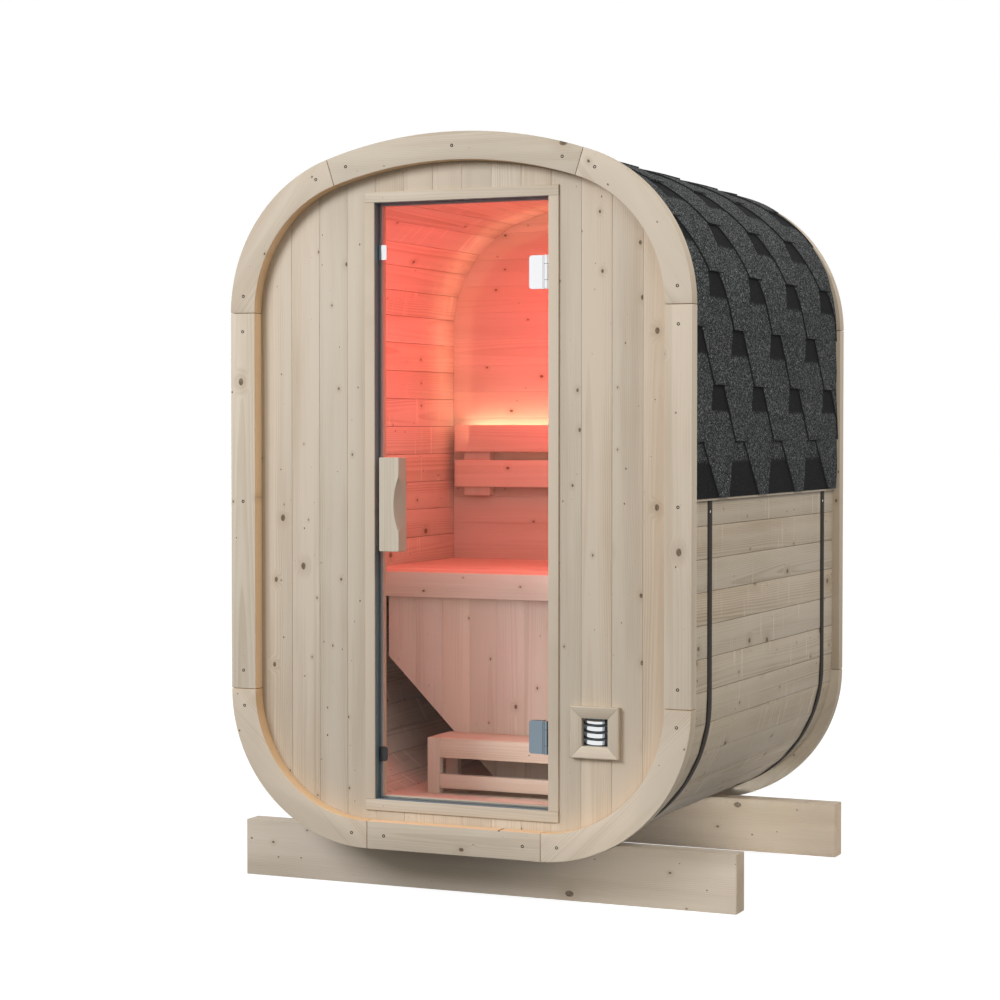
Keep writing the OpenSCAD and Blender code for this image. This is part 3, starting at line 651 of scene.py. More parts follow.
@dataclass
class Boards:
    """Boards gathered into one mesh, each with its own grain."""

    name: str
    seed: int = 1
    ease: float = 1.2 * MM
    corners: list[Vector] = field(default_factory=list)
    faces: list[list[int]] = field(default_factory=list)
    grain: list[Vector] = field(default_factory=list)
    board: list[float] = field(default_factory=list)
    end_grain: list[float] = field(default_factory=list)
    hub_side_painted_light: list[float] = field(default_factory=list)
    # The ring's middle; faces that look to it get a warm painted light.
    hub: Optional[Vector] = None

    def __post_init__(self) -> None:
        """Seeds the draws that tell the boards apart."""
        self.draw = random.Random(self.seed)

    def hub_side_painted_light_share(self, face: bmesh.types.BMFace) -> float:
        """Tells whether a face looks to the hub, so that it gets a warm painted light."""
        if self.hub is None or abs(face.normal.y) > 0.5:
            return 0.0
        way = self.hub - face.calc_center_median()
        way.y = 0.0
        return 1.0 if way.normalized().dot(face.normal) > 0.3 else 0.0

    def add(self, outline: Sequence[Point2], plane: Plane, low: float, high: float, along: Vector,
            ease: Optional[float] = None) -> None:
        """Adds a board.

        Args:
            outline: The corners of its outline in the plane.
            plane: The plane of the outline.
            low: Where it starts along the third axis.
            high: Where it ends along the third axis.
            along: The direction of its fibres.
            ease: The rounding of its edges, or None for the usual one.
        """
        bm = prism(outline, plane, low, high)
        self.take(bm, along, plane.normal, self.ease if ease is None else ease)

    def box(self, low: Vector, high: Vector, along: Vector, face: Plane = Plane.XZ) -> None:
        """Adds a straight board between two corners, whose width and length lie in a plane."""
        (a0, a1), (b0, b1), (c0, c1) = ((getattr(low, axis), getattr(high, axis)) for axis in face.value)
        self.add(rectangle(a0, a1, b0, b1), face, c0, c1, along)

    def take(self, bm: bmesh.types.BMesh, along: Vector, facing: Vector, ease: float) -> None:
        """Takes over a closed shape as one board with fibres along a direction."""
        bmesh.ops.recalc_face_normals(bm, faces=bm.faces)
        eased(bm, ease)
        bm.verts.index_update()
        middle = sum((v.co for v in bm.verts), Vector()) / len(bm.verts)
        across = facing.cross(along).normalized()
        outward = along.cross(across).normalized()
        draw = self.draw.random()
        start = len(self.corners)
        for vertex in bm.verts:
            offset = vertex.co - middle
            self.corners.append(vertex.co.copy())
            self.grain.append(Vector((offset.dot(along), offset.dot(across), offset.dot(outward))))
            self.board.append(draw)
        for face in bm.faces:
            self.faces.append([start + v.index for v in face.verts])
            self.end_grain.append(min(1.0, abs(face.normal.dot(along)) * 1.05))
            self.hub_side_painted_light.append(self.hub_side_painted_light_share(face))
        bm.free()

    def finish(self, body: str, finish: Finish, nodes: Sequence[str] = ()) -> None:
        """Turns the boards into one piece that rides on a body."""
        mesh = bpy.data.meshes.new(self.name)
        mesh.from_pydata([tuple(c) for c in self.corners], [], self.faces)
        grain = mesh.attributes.new("grain", "FLOAT_VECTOR", "POINT")
        grain.data.foreach_set("vector", [n for v in self.grain for n in v])
        for label, domain, values in (
                ("board", "POINT", self.board), ("end_grain", "FACE", self.end_grain), ("hub_side_painted_light", "FACE", self.hub_side_painted_light)):
            mesh.attributes.new(label, "FLOAT", domain).data.foreach_set("value", values)
        finish_object(self.name, mesh, body, [finish], nodes)


@dataclass
class Fittings:
    """Small closed shapes of metal, plastic or glass gathered into one mesh."""

    name: str
    corners: list[Vector] = field(default_factory=list)
    faces: list[list[int]] = field(default_factory=list)
    slots: list[int] = field(default_factory=list)

    def take(self, bm: bmesh.types.BMesh, ease: float = 0.0, slot: int = 0) -> None:
        """Takes over a closed shape with its edges rounded."""
        bmesh.ops.recalc_face_normals(bm, faces=bm.faces)
        eased(bm, ease, 30.0)
        bm.verts.index_update()
        start = len(self.corners)
        self.corners.extend(v.co.copy() for v in bm.verts)
        self.faces.extend([start + v.index for v in face.verts] for face in bm.faces)
        self.slots.extend(face.material_index or slot for face in bm.faces)
        bm.free()

    def slab(self, outline: Sequence[Point2], plane: Plane, low: float, high: float, ease: float = 0.0,
             slot: int = 0) -> None:
        """Adds a slab with an outline in a plane."""
        self.take(prism(outline, plane, low, high), ease, slot)

    def turned(self, profile: Sequence[Point2], centre: Vector, axis: Vector, sides: int) -> None:
        """Adds a turned shape.

        Args:
            profile: Radius and place along the axis of each ring, first and last with radius 0.
            centre: Where the axis starts.
            axis: The axis, of length 1.
            sides: How many sides go round.
        """
        side = axis.orthogonal().normalized()
        other = axis.cross(side)
        bm = bmesh.new()
        rings = []
        for radius, height in profile:
            middle = centre + axis * height
            if radius == 0:
                rings.append([bm.verts.new(middle)])
            else:
                rings.append([
                    bm.verts.new(middle + (side * math.cos(t) + other * math.sin(t)) * radius)
                    for t in (2 * math.pi * i / sides for i in range(sides))])
        for lower, upper in zip(rings, rings[1:]):
            for i in range(sides):
                j = (i + 1) % sides
                if len(lower) == 1:
                    bm.faces.new((lower[0], upper[i], upper[j]))
                elif len(upper) == 1:
                    bm.faces.new((lower[i], upper[0], lower[j]))
                else:
                    bm.faces.new((lower[i], lower[j], upper[j], upper[i]))
        self.take(bm)

    def finish(self, body: str, finishes: Sequence[Finish], nodes: Sequence[str] = ()) -> None:
        """Turns the shapes into one piece that rides on a body."""
        mesh = bpy.data.meshes.new(self.name)
        mesh.from_pydata([tuple(c) for c in self.corners], [], self.faces)
        mesh.polygons.foreach_set("material_index", self.slots)
        finish_object(self.name, mesh, body, finishes, nodes)


def rounded_rectangle(low: Point2, high: Point2, radii: Sequence[float], steps: int = 6) -> list[Point2]:
    """Gives the outline of a rectangle with rounded corners.

    Args:
        low: The lower left corner.
        high: The upper right corner.
        radii: The corner radii, from the lower left one counterclockwise.
        steps: How many straight pieces make a corner.

    Returns:
        The points of the outline, counterclockwise.
    """
    places = [(low[0], low[1], 180.0), (high[0], low[1], 270.0), (high[0], high[1], 0.0), (low[0], high[1], 90.0)]
    points = []
    for (x, y, start), radius in zip(places, radii):
        inward_x = radius if x == low[0] else -radius
        inward_y = radius if y == low[1] else -radius
        if radius == 0:
            points.append((x, y))
            continue
        for i in range(steps + 1):
            turn = math.radians(start + 90.0 * i / steps)
            points.append((x + inward_x + radius * math.cos(turn), y + inward_y + radius * math.sin(turn)))
    return points


# The rounded outline


@dataclass
class Outline:
    """The rounded outline of rings, shell and roof, measured from the middle of the base round to the crown."""

    half_width: float
    base_z: float
    foot_z: float
    shoulder_z: float
    shoulder_r: float = 448 * MM
    crown_half: float = math.radians(17.86)

    @classmethod
    def from_frame(cls) -> "Outline":
        """Reads the outline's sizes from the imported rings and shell."""
        shell_low, shell_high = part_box("shell_sides")
        _, ring_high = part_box("front_ring_right")
        ring_low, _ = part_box("front_ring_bottom")
        return cls(ring_high.x, ring_low.z, shell_low.z, shell_high.z)

    def __post_init__(self) -> None:
        """Works out the centres of the arcs."""
        self.foot_r = self.foot_z - self.base_z
        self.foot_x = self.half_width - self.foot_r
        self.shoulder_x = self.half_width - self.shoulder_r
        self.crown_r = self.shoulder_r + self.shoulder_x / math.sin(self.crown_half)
        self.crown_z = self.shoulder_z - self.shoulder_x / math.tan(self.crown_half)

    def stretches(self, inset: float) -> list[float]:
        """Gives the lengths of the five stretches of one side at a depth inside the rings' edge."""
        return [
            self.foot_x,
            (self.foot_r - inset) * math.pi / 2,
            self.shoulder_z - self.foot_z,
            (self.shoulder_r - inset) * (math.pi / 2 - self.crown_half),
            (self.crown_r - inset) * self.crown_half,
        ]

    def length(self, inset: float) -> float:
        """Gives the length of one side, from the middle of the base to the crown."""
        return sum(self.stretches(inset))

    def at(self, way: float, inset: float, depth: Optional[float] = None) -> tuple[Vector, Vector]:
        """Finds a place on the outline.

        Args:
            way: How far along the outline, positive to the right and negative to the left.
            inset: The depth inside the rings' edge at which the way is measured.
            depth: The depth of the place itself, or None for the same.

        Returns:
            The place and the outward direction there, with y at 0.
        """
        depth = inset if depth is None else depth
        side = -1.0 if way < 0 else 1.0
        left = abs(way)
        lengths = self.stretches(inset)
        step = 0
        while step < 4 and left > lengths[step]:
            left -= lengths[step]
            step += 1
        share = left / lengths[step]
        if step == 0:
            centre, radius, turn = Vector((share * self.foot_x, 0, self.base_z + depth)), 0.0, -90.0
        elif step == 1:
            centre, radius, turn = Vector((self.foot_x, 0, self.foot_z)), self.foot_r - depth, -90.0 + 90.0 * share
        elif step == 2:
            height = self.foot_z + share * (self.shoulder_z - self.foot_z)
            centre, radius, turn = Vector((self.half_width - depth, 0, height)), 0.0, 0.0
        elif step == 3:
            turn = share * (90.0 - math.degrees(self.crown_half))
            centre, radius = Vector((self.shoulder_x, 0, self.shoulder_z)), self.shoulder_r - depth
        else:
            turn = 90.0 - math.degrees(self.crown_half) * (1.0 - share)
            centre, radius = Vector((0, 0, self.crown_z)), self.crown_r - depth
        outward = Vector((math.cos(math.radians(turn)), 0, math.sin(math.radians(turn))))
        place = centre + outward * radius
        return Vector((side * place.x, 0, place.z)), Vector((side * outward.x, 0, outward.z))

    def top(self, x: float, inset: float) -> float:
        """Gives the height of the outline's top above a place across the width."""
        reach = abs(x)
        if reach <= (self.crown_r - inset) * math.sin(self.crown_half):
            return self.crown_z + math.sqrt((self.crown_r - inset) ** 2 - reach ** 2)
        off = max(0.0, reach - self.shoulder_x)
        return self.shoulder_z + math.sqrt(max(0.0, (self.shoulder_r - inset) ** 2 - off ** 2))

    def bottom(self, x: float, inset: float) -> float:
        """Gives the height of the outline's bottom below a place across the width."""
        off = max(0.0, abs(x) - self.foot_x)
        return self.foot_z - math.sqrt(max(0.0, (self.foot_r - inset) ** 2 - off ** 2))

    def half_at(self, z: float, inset: float) -> float:
        """Gives half the outline's width at a height."""
        if z < self.foot_z:
            return self.foot_x + math.sqrt(max(0.0, (self.foot_r - inset) ** 2 - (self.foot_z - z) ** 2))
        if z <= self.shoulder_z:
            return self.half_width - inset
        joint = self.crown_z + (self.crown_r - inset) * math.cos(self.crown_half)
        if z < joint:
            return self.shoulder_x + math.sqrt(max(0.0, (self.shoulder_r - inset) ** 2 - (z - self.shoulder_z) ** 2))
        return math.sqrt(max(0.0, (self.crown_r - inset) ** 2 - (z - self.crown_z) ** 2))


def spaced(start: float, end: float, most: float) -> list[float]:
    """Gives places from start to end that lie no further apart than most."""
    count = max(1, math.ceil(abs(end - start) / most))
    return [start + (end - start) * i / count for i in range(count + 1)]


# Rings


@dataclass
class Rings:
    """The two rings of butt-jointed boards with their screws."""

    outline: Outline
    band: float = 78 * MM
    ease: float = 2.2 * MM
    butt_gap: float = 1.2 * MM
    screw_from_joint: float = 53 * MM
    screw_r: float = 4.6 * MM
    sunk: float = 0.3 * MM
    arc_step: float = 26 * MM

    def segments(self) -> list[tuple[str, float, float]]:
        """Gives each board's node ending and where it starts and ends along the outline."""
        lengths = self.outline.stretches(0.0)
        marks = [sum(lengths[:i]) for i in range(6)]
        return [
            ("bottom", -marks[1], marks[1]), ("bottom_right", marks[1], marks[2]), ("right", marks[2], marks[3]),
            ("top_right", marks[3], marks[4]), ("top", marks[4], 2 * marks[5] - marks[4]),
            ("bottom_left", -marks[2], -marks[1]), ("left", -marks[3], -marks[2]), ("top_left", -marks[4], -marks[3]),
        ]

    def place(self, way: float, depth: float) -> Vector:
        """Finds a place on the ring's face, also past the crown."""
        whole = self.outline.length(0.0)
        if way > whole:
            way -= 2 * whole
        return self.outline.at(way, 0.0, depth)[0]

    def build(self) -> None:
        """Builds the boards and screws of the front and rear rings."""
        rear = {
            "rear_ring_arch": ("top", "top_left", "top_right"), "rear_ring_sides": ("left", "right"),
            "rear_ring_foot": ("bottom", "bottom_left", "bottom_right")}
        spans = {ending: (start, end) for ending, start, end in self.segments()}
        front_low, front_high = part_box("front_ring_right")
        rear_low, rear_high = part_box("rear_ring_sides")
        hub = Vector((0.0, 0.0, (front_low.z + front_high.z) / 2))
        for number, (ending, (start, end)) in enumerate(spans.items()):
            # Inner faces that look to the hub get a warm painted light.
            boards = Boards("front_ring_%s_board" % ending, 11 + number, self.ease, hub=hub)
            self.board(boards, start, end, front_low.y + self.sunk, front_high.y)
            boards.finish("cabin", RING_SPRUCE, ["front_ring_" + ending])
        drop = self.outline.base_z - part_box("rear_ring_foot")[0].z
        for number, (node, endings) in enumerate(rear.items()):
            boards = Boards(node + "_boards", 31 + number, self.ease)
            for ending in endings:
                self.board(boards, *spans[ending], rear_low.y, rear_high.y - self.sunk, drop)
            boards.finish("cabin", RING_SPRUCE, [node])
        self.screws("front_ring_screws", front_low.y + self.sunk, -1.0, 0.0)
        self.screws("rear_ring_screws", rear_high.y - self.sunk, 1.0, drop)

    def board(self, boards: Boards, start: float, end: float, near: float, far: float, drop: float = 0.0) -> None:
        """Adds the board between two places along the outline, lowered by a drop."""
        gap = self.butt_gap / 2
        marks = spaced(start + gap, end - gap, self.arc_step)
        if abs(self.place(start, 0.0).x - self.place(end, 0.0).x) < 1e-4:
            marks = [marks[0], marks[-1]]
        outer = [self.place(way, 0.0) for way in marks]
        inner = [self.place(way, self.band) for way in reversed(marks)]
        along = (outer[-1] - outer[0]).normalized()
        boards.add([(p.x, p.z - drop) for p in outer + inner], Plane.XZ, near, far, along)

    def screws(self, name: str, face_y: float, facing: float, drop: float) -> None:
        """Adds a countersunk screw near both ends of each board and in the middle of the long ones."""
        heads = Fittings(name)
        axis = Vector((0.0, facing, 0.0))
        for ending, start, end in self.segments():
            ways = [start + self.screw_from_joint, end - self.screw_from_joint]
            if ending in ("top", "left", "right"):
                ways.append((start + end) / 2)
            for way in ways:
                spot = self.place(way, self.band * 0.5)
                spot.y = face_y
                spot.z -= drop
                screw_head(heads, spot, axis, self.screw_r)
        # The heads are near-black, painted shade of their holes.
        heads.finish("cabin", [SCREW_PAINTED_SHADE])


def screw_head(heads: Fittings, spot: Vector, axis: Vector, radius: float) -> None:
    """Adds a flat screw head with a round recess, just proud of a face."""
    proud, shank_end, recess = 0.25 * MM, -1.5 * MM, -0.9 * MM
    profile = [(0.0, shank_end), (radius * 0.6, shank_end), (radius, proud * 0.4), (radius * 0.93, proud),
               (radius * 0.5, proud), (radius * 0.42, recess), (0.0, recess)]
    heads.turned(profile, spot, axis, 16)


# Shell


@dataclass
class Shell:
    """The staves between the rings."""

    outline: Outline
    inset: float = 23 * MM
    thickness: float = 45 * MM
    stave: float = 90.2 * MM
    joint_z: float = 467 * MM
    ease: float = 2.4 * MM
    groove: float = 0.4 * MM

    def build(self) -> None:
        """Builds the staves of each stretch of the outline."""
        low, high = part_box("shell_sides")
        lengths = self.outline.stretches(self.inset)
        marks = [sum(lengths[:i]) for i in range(6)]
        joint = marks[2] + self.joint_z - (self.outline.foot_z - self.outline.base_z)
        whole = marks[5]
        first = joint - math.floor(joint / self.stave) * self.stave
        joints = [first + self.stave * i for i in range(1 + int((whole - first) / self.stave))]
        if whole - joints[-1] > 0.5 * self.stave:
            joints.append(whole)
        groups = {"shell_crown": 4, "shell_shoulders": 3, "shell_sides": 2, "shell_feet": 1, "shell_base": 0}
        for number, (node, stretch) in enumerate(groups.items()):
            boards = Boards(node + "_staves", 51 + number, self.ease)
            for start, end in zip(joints, joints[1:]):
                middle = (start + end) / 2
                if marks[stretch] <= middle < marks[stretch + 1]:
                    self.board(boards, start, end, low.y, high.y)
                    self.board(boards, -end, -start, low.y, high.y)
            if node == "shell_base":
                self.board(boards, -joints[0], joints[0], low.y, high.y)
            boards.finish("cabin", STAVE_SPRUCE, [node])

    def board(self, boards: Boards, start: float, end: float, near: float, far: float) -> None:
        """Adds a flat-faced stave between two places along the outline."""
        depth = self.inset + self.thickness
        start, end = start + self.groove, end - self.groove
        corners = [self.outline.at(way, self.inset)[0] for way in (start, end)]
        corners += [self.outline.at(way, self.inset, depth)[0] for way in (end, start)]
        facing = (corners[1] - corners[0]).cross(Along.Y).normalized()
        boards.take(prism([(p.x, p.z) for p in corners], Plane.XZ, near, far), Along.Y, facing, self.ease)


@dataclass
class Bands:
    """Two flat steel bands that run down from the roof's edge and round under the shell."""

    outline: Outline
    inset: float = 20.7 * MM
    thickness: float = 2.0 * MM
    width: float = 34 * MM
    screw_from_end: float = 30 * MM
    screw_r: float = 3.2 * MM
    arc_step: float = 24 * MM

    def build(self) -> None:
        """Builds both bands and the screws at their upper ends."""
        low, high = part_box("steel_bands")
        lengths = self.outline.stretches(self.inset)
        reach = sum(lengths[:2]) + high.z - self.outline.foot_z
        band = Fittings("steel_band_straps")
        heads = Fittings("steel_band_screws")
        for near in (low.y, high.y - self.width):
            marks = spaced(-reach, reach, self.arc_step)
            outer = [self.outline.at(way, self.inset)[0] for way in marks]
            inner = [self.outline.at(way, self.inset, self.inset + self.thickness)[0] for way in reversed(marks)]
            band.slab([(p.x, p.z) for p in outer + inner], Plane.XZ, near, near + self.width, 0.4 * MM)
            for way in (-reach + self.screw_from_end, reach - self.screw_from_end):
                spot, outward = self.outline.at(way, self.inset)
                spot.y = near + self.width / 2
                screw_head(heads, spot, outward, self.screw_r)
        band.finish("cabin", [BAND_STEEL], ["steel_bands"])
        heads.finish("cabin", [CHROME])


# Roof


@dataclass
class Roof:
    """Laminated shingles in staggered courses up both sides, and a row of caps along the crown."""

    outline: Outline
    shell_inset: float = 23 * MM
    exposure: float = 155 * MM
    overlap: float = 30 * MM
    sheet: float = 2.0 * MM
    tooth: float = 4.2 * MM
    reveal: float = 6.0 * MM
    strip_h: float = 70 * MM
    lift: float = 5.1 * MM
    pitch: float = 354 * MM
    gap_top: float = 94 * MM
    rear_slant: float = 46 * MM
    front_slant: float = 90 * MM
    first_slant: float = 132 * MM
    first_gap: float = 196 * MM
    eave_lift: float = 9.0 * MM
    cap_half: float = 130 * MM
    cap_exposure: float = 146 * MM
    cap_tail: float = 40 * MM
    cap_t: float = 3.2 * MM
    cap_front_h: float = 12.6 * MM
    cap_tail_h: float = 9.2 * MM
    end_slip: float = 0.5 * MM
    first_lift: float = 0.6 * MM
    upper_lift: float = 0.3 * MM
    narrowest: float = 20 * MM
    least_tooth: float = 2 * MM
    tooth_cover: float = 6 * MM
    teeth_start: float = -32 * MM
    teeth: int = 8
    bend_step: float = 22 * MM

    def build(self) -> None:
        """Builds the courses of both sides and the caps."""
        low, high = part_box("roof_cover_right")
        self.near = low.y + self.end_slip
        self.far = high.y - self.end_slip
        lengths = self.outline.stretches(self.shell_inset)
        self.edge = sum(lengths[:2]) + low.z - self.outline.foot_z
        self.whole = self.outline.length(self.shell_inset)
        self.shoulder = sum(lengths[:3])
        for side, name in ((1.0, "right"), (-1.0, "left")):
            self.clear()
            start = self.edge + self.reveal
            number = 0
            while start < self.whole - self.narrowest:
                self.lay_course(side, start, number)
                start += self.exposure
                number += 1
            self.piece("roof_shingles_" + name, ["roof_cover_" + name])
        self.eave_strips()
        self.clear()
        self.lay_caps()
        self.piece("roof_ridge_caps", ["roof_cover_top"])

    def clear(self) -> None:
        """Starts a new piece with nothing laid."""
        self.faces: list[list[int]] = []
        self.corners: list[Vector] = []
        self.course: list[Vector] = []
        self.slots: list[int] = []

    def eave_strips(self) -> None:
        """Lays the timber strips that hold the lowest courses off the wall."""
        strips = Boards("roof_eave_strips", 61, 0.8 * MM)
        face = self.outline.half_width - self.shell_inset
        low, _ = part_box("roof_cover_right")
        for side in (-1.0, 1.0):
            section = [(face, low.z), (face + self.eave_lift + 0.3 * MM, low.z),
                       (face + 0.84 * self.eave_lift, low.z + self.strip_h), (face, low.z + self.strip_h)]
            strips.add([(side * x, z) for x, z in section], Plane.XZ, self.near, self.far, Along.Y)
        strips.finish("cabin", FRAME_SPRUCE)

    def spot(self, side: float, way: float, y: float, height: float) -> Vector:
        """Finds a place at a height above the shell, which grows on the way down to the eaves."""
        flare = max(0.0, (self.shoulder - way) / (self.shoulder - self.edge))
        height += self.eave_lift * flare
        place, _ = self.outline.at(side * min(way, self.whole), self.shell_inset, self.shell_inset - height)
        return Vector((place.x, y, place.z))

    def lay_course(self, side: float, start: float, number: int) -> None:
        """Lays one course: a sheet over the full length and the teeth on it.

        Args:
            side: 1 for the right side and -1 for the left.
            start: Where the course starts along the outline.
            number: The number of the course, from the roof's edge.
        """
        first = number == 0
        end = min(self.whole, start + self.exposure + self.overlap)
        tilt = self.first_lift if first else self.lift

        def lifted(way: float) -> float:
            """Height of the course's underside above the shell."""
            return tilt + (self.upper_lift - tilt) * (way - start) / (self.exposure + self.overlap)

        ways = spaced(start, end, self.bend_step)
        self.sheet_between(
            side, ways, lambda way: self.near, lambda way: self.far, lifted, self.sheet, 0.0, first, start)
        stagger = 0.5 * self.pitch if number % 2 == 0 else 0.0
        slant = self.first_slant if first else self.front_slant
        tooth_end = min(self.whole, start + self.exposure + self.tooth_cover)
        ways = spaced(start, tooth_end, self.bend_step)
        gap_start = self.near + self.teeth_start + self.first_gap + stagger - 2 * self.pitch
        for k in range(self.teeth):
            rear_of_gap = gap_start + self.gap_top + k * self.pitch
            front_of_next = gap_start + (k + 1) * self.pitch

            def front(way: float, base: float = rear_of_gap) -> float:
                """The tooth's front edge, which slants back going down."""
                down = start + self.exposure - way
                return min(self.far, max(self.near, base + slant * down / self.exposure))

            def rear(way: float, base: float = front_of_next) -> float:
                """The tooth's rear edge."""
                down = start + self.exposure - way
                return min(self.far, max(self.near, base - self.rear_slant * down / self.exposure))

            if all(rear(way) - front(way) < self.least_tooth for way in (ways[0], ways[-1])):
                continue
            self.sheet_between(
                side, ways, front, rear, lambda way: lifted(way) + self.sheet, self.tooth, 1.0, first, start)

    def sheet_between(self, side: float, ways: Sequence[float], near: Height, far: Height, under: Height,
                      thickness: float, layer: float, first: bool, start: float) -> None:
        """Adds a closed sheet that follows the outline between two edges.

        Args:
            side: 1 for the right side and -1 for the left.
            ways: Where its rows of corners lie along the outline.
            near: The place of its front edge at a way.
            far: The place of its rear edge at a way.
            under: The height of its underside at a way.
            thickness: Its thickness.
            layer: 0 for the lower sheet and 1 for the teeth.
            first: Whether it belongs to the lowest course.
            start: Where its course starts along the outline.
        """
        base = len(self.corners)
        for way in ways:
            a = near(way)
            b = max(far(way), a + 0.05 * MM)
            low = under(way)
            for y, height in ((a, low), (b, low), (b, low + thickness), (a, low + thickness)):
                self.corners.append(self.spot(side, way, y, height))
                self.course.append(Vector((way - start, layer, 1.0 if first else 0.0)))
        self.close_rows(base, len(ways), 1 if first else 0)

    def close_rows(self, base: int, count: int, end_slot: int) -> None:
        """Closes rows of four corners into a sheet, whose upper face has the first slot.

        Args:
            base: The number of the first corner.
            count: How many rows there are.
            end_slot: The slot of the sheet's lower end.
        """
        for i in range(count - 1):
            row = base + 4 * i
            for k in range(4):
                m = (k + 1) % 4
                self.faces.append([row + k, row + m, row + 4 + m, row + 4 + k])
                self.slots.append(0 if k == 2 else 1)
        for row, slot in ((base, end_slot), (base + 4 * (count - 1), 1)):
            self.faces.append([row + k for k in range(4)])
            self.slots.append(slot)

    def lay_caps(self) -> None:
        """Lays the caps over the crown from the rear to the front, each over the one before."""
        count = math.ceil((self.far - self.near) / self.cap_exposure)
        step = (self.far - self.near) / count
        ways = spaced(-self.cap_half, self.cap_half, self.bend_step)
        for i in range(count):
            rear_y = self.far - i * step
            front_y = rear_y - step
            tail_y = min(self.far, rear_y + self.cap_tail)
            base = len(self.corners)
            for way in ways:
                turned = -1.0 if way < 0 else 1.0
                for y, height in (
                        (front_y, self.cap_front_h), (tail_y, self.cap_tail_h),
                        (tail_y, self.cap_tail_h + self.cap_t), (front_y, self.cap_front_h + self.cap_t)):
                    self.corners.append(self.spot(turned, self.whole - abs(way), y, height))
                    self.course.append(Vector((0.0, 1.0, 0.0)))
            self.close_rows(base, len(ways), 1)

    def piece(self, name: str, nodes: Sequence[str]) -> None:
        """Turns what was laid into one piece."""
        mesh = bpy.data.meshes.new(name)
        mesh.from_pydata([tuple(c) for c in self.corners], [], self.faces)
        mesh.polygons.foreach_set("material_index", self.slots)
        course = mesh.attributes.new("course", "FLOAT_VECTOR", "POINT")
        course.data.foreach_set("vector", [n for v in self.course for n in v])
        bm = bmesh.new()
        bm.from_mesh(mesh)
        bmesh.ops.recalc_face_normals(bm, faces=bm.faces)
        bm.to_mesh(mesh)
        bm.free()
        finish_object(name, mesh, "cabin", [SHINGLE, BITUMEN], nodes)


# Walls


@dataclass
class FrontWall:
    """Vertical boards cut round the door frame and the vent."""

    outline: Outline
    inset: float = 68.3 * MM
    pitch: float = 89.2 * MM
    joint_x: float = 11.2 * MM
    narrowest: float = 40 * MM
    ease: float = 2.1 * MM
    arc_step: float = 9 * MM
    least_cut: float = 3 * MM
    snap: float = 2 * MM

    def joints(self) -> list[float]:
        """Gives the places of the board joints across the front."""
        half = self.outline.half_width - self.inset
        first = self.joint_x - math.floor((self.joint_x + half) / self.pitch) * self.pitch
        places = [first + i * self.pitch for i in range(30)]
        inner = [x for x in places if -half + self.narrowest < x < half - self.narrowest]
        return [-half] + inner + [half]

    def build(self) -> None:
        """Builds the boards of the front wall."""
        low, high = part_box("front_wall_left")
        jamb_low, jamb_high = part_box("door_head")
        sill_low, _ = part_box("door_sill")
        plate_low, plate_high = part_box("vent_louvre")
        cuts = [(jamb_low.x, jamb_high.x, sill_low.z, jamb_high.z),
                (plate_low.x, plate_high.x, plate_low.z, plate_high.z)]
        boards = Boards("front_wall_boards", 71, self.ease)
        for start, end in zip(self.joints(), self.joints()[1:]):
            for outline in self.strip(start, end, cuts):
                boards.add(outline, Plane.XZ, low.y, high.y, Along.Z)
        boards.finish("cabin", WALL_SPRUCE, [
            "front_wall_left", "front_wall_right", "front_wall_over_door", "front_wall_under_door"])

    def strip(self, start: float, end: float, cuts: Iterable[tuple[float, float, float, float]]) -> list[list[Point2]]:
        """Gives the outlines of the board between two joints, with what the cuts leave of it."""
        turns = [x for x in (-self.outline.foot_x, self.outline.foot_x) if start < x < end]
        marks = sorted(set(spaced(start, end, self.arc_step) + turns))
        top = [(x, self.outline.top(x, self.inset)) for x in marks]
        bottom = [(x, self.outline.bottom(x, self.inset)) for x in marks]
        left: list[Point2] = []
        right: list[Point2] = []
        for x0, x1, z0, z1 in cuts:
            if min(x1, end) - max(x0, start) < self.least_cut:
                continue
            if x0 <= start + self.snap and x1 >= end - self.snap:
                lower = bottom + [(end, z0), (start, z0)]
                upper = [(start, z1), (end, z1)] + list(reversed(top))
                return [lower, upper]
            if x0 > start + self.snap and x1 >= end - self.snap:
                right = [(end, z0), (x0, z0), (x0, z1), (end, z1)]
            else:
                left = [(start, z1), (x1, z1), (x1, z0), (start, z0)]
        return [bottom + right + list(reversed(top)) + left]


@dataclass
class RearWall:
    """Horizontal boards between the rear ring and the shell."""

    outline: Outline
    inset: float = 68.3 * MM
    pitch: float = 88.2 * MM
    joint_z: float = 1306.2 * MM
    narrowest: float = 35 * MM
    arc_step: float = 6 * MM

    def build(self) -> None:
        """Builds the boards of the rear wall."""
        low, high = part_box("rear_wall")
        first = self.joint_z + self.outline.base_z
        first -= math.floor((first - low.z) / self.pitch) * self.pitch
        inner = [first + i * self.pitch for i in range(40)]
        joints = [low.z] + [z for z in inner if low.z + self.narrowest < z < high.z - self.narrowest] + [high.z]
        boards = Boards("rear_wall_boards", 81)
        for start, end in zip(joints, joints[1:]):
            marks = spaced(start, end, self.arc_step)
            right = [(self.outline.half_at(z, self.inset), z) for z in marks]
            left = [(-x, z) for x, z in reversed(right)]
            outline = [p for i, p in enumerate(right + left) if abs(p[0]) > 1e-5 or i < len(right)]
            boards.add(outline, Plane.XZ, low.y, high.y, Along.X)
        boards.finish("cabin", INSIDE_SPRUCE, ["rear_wall"])


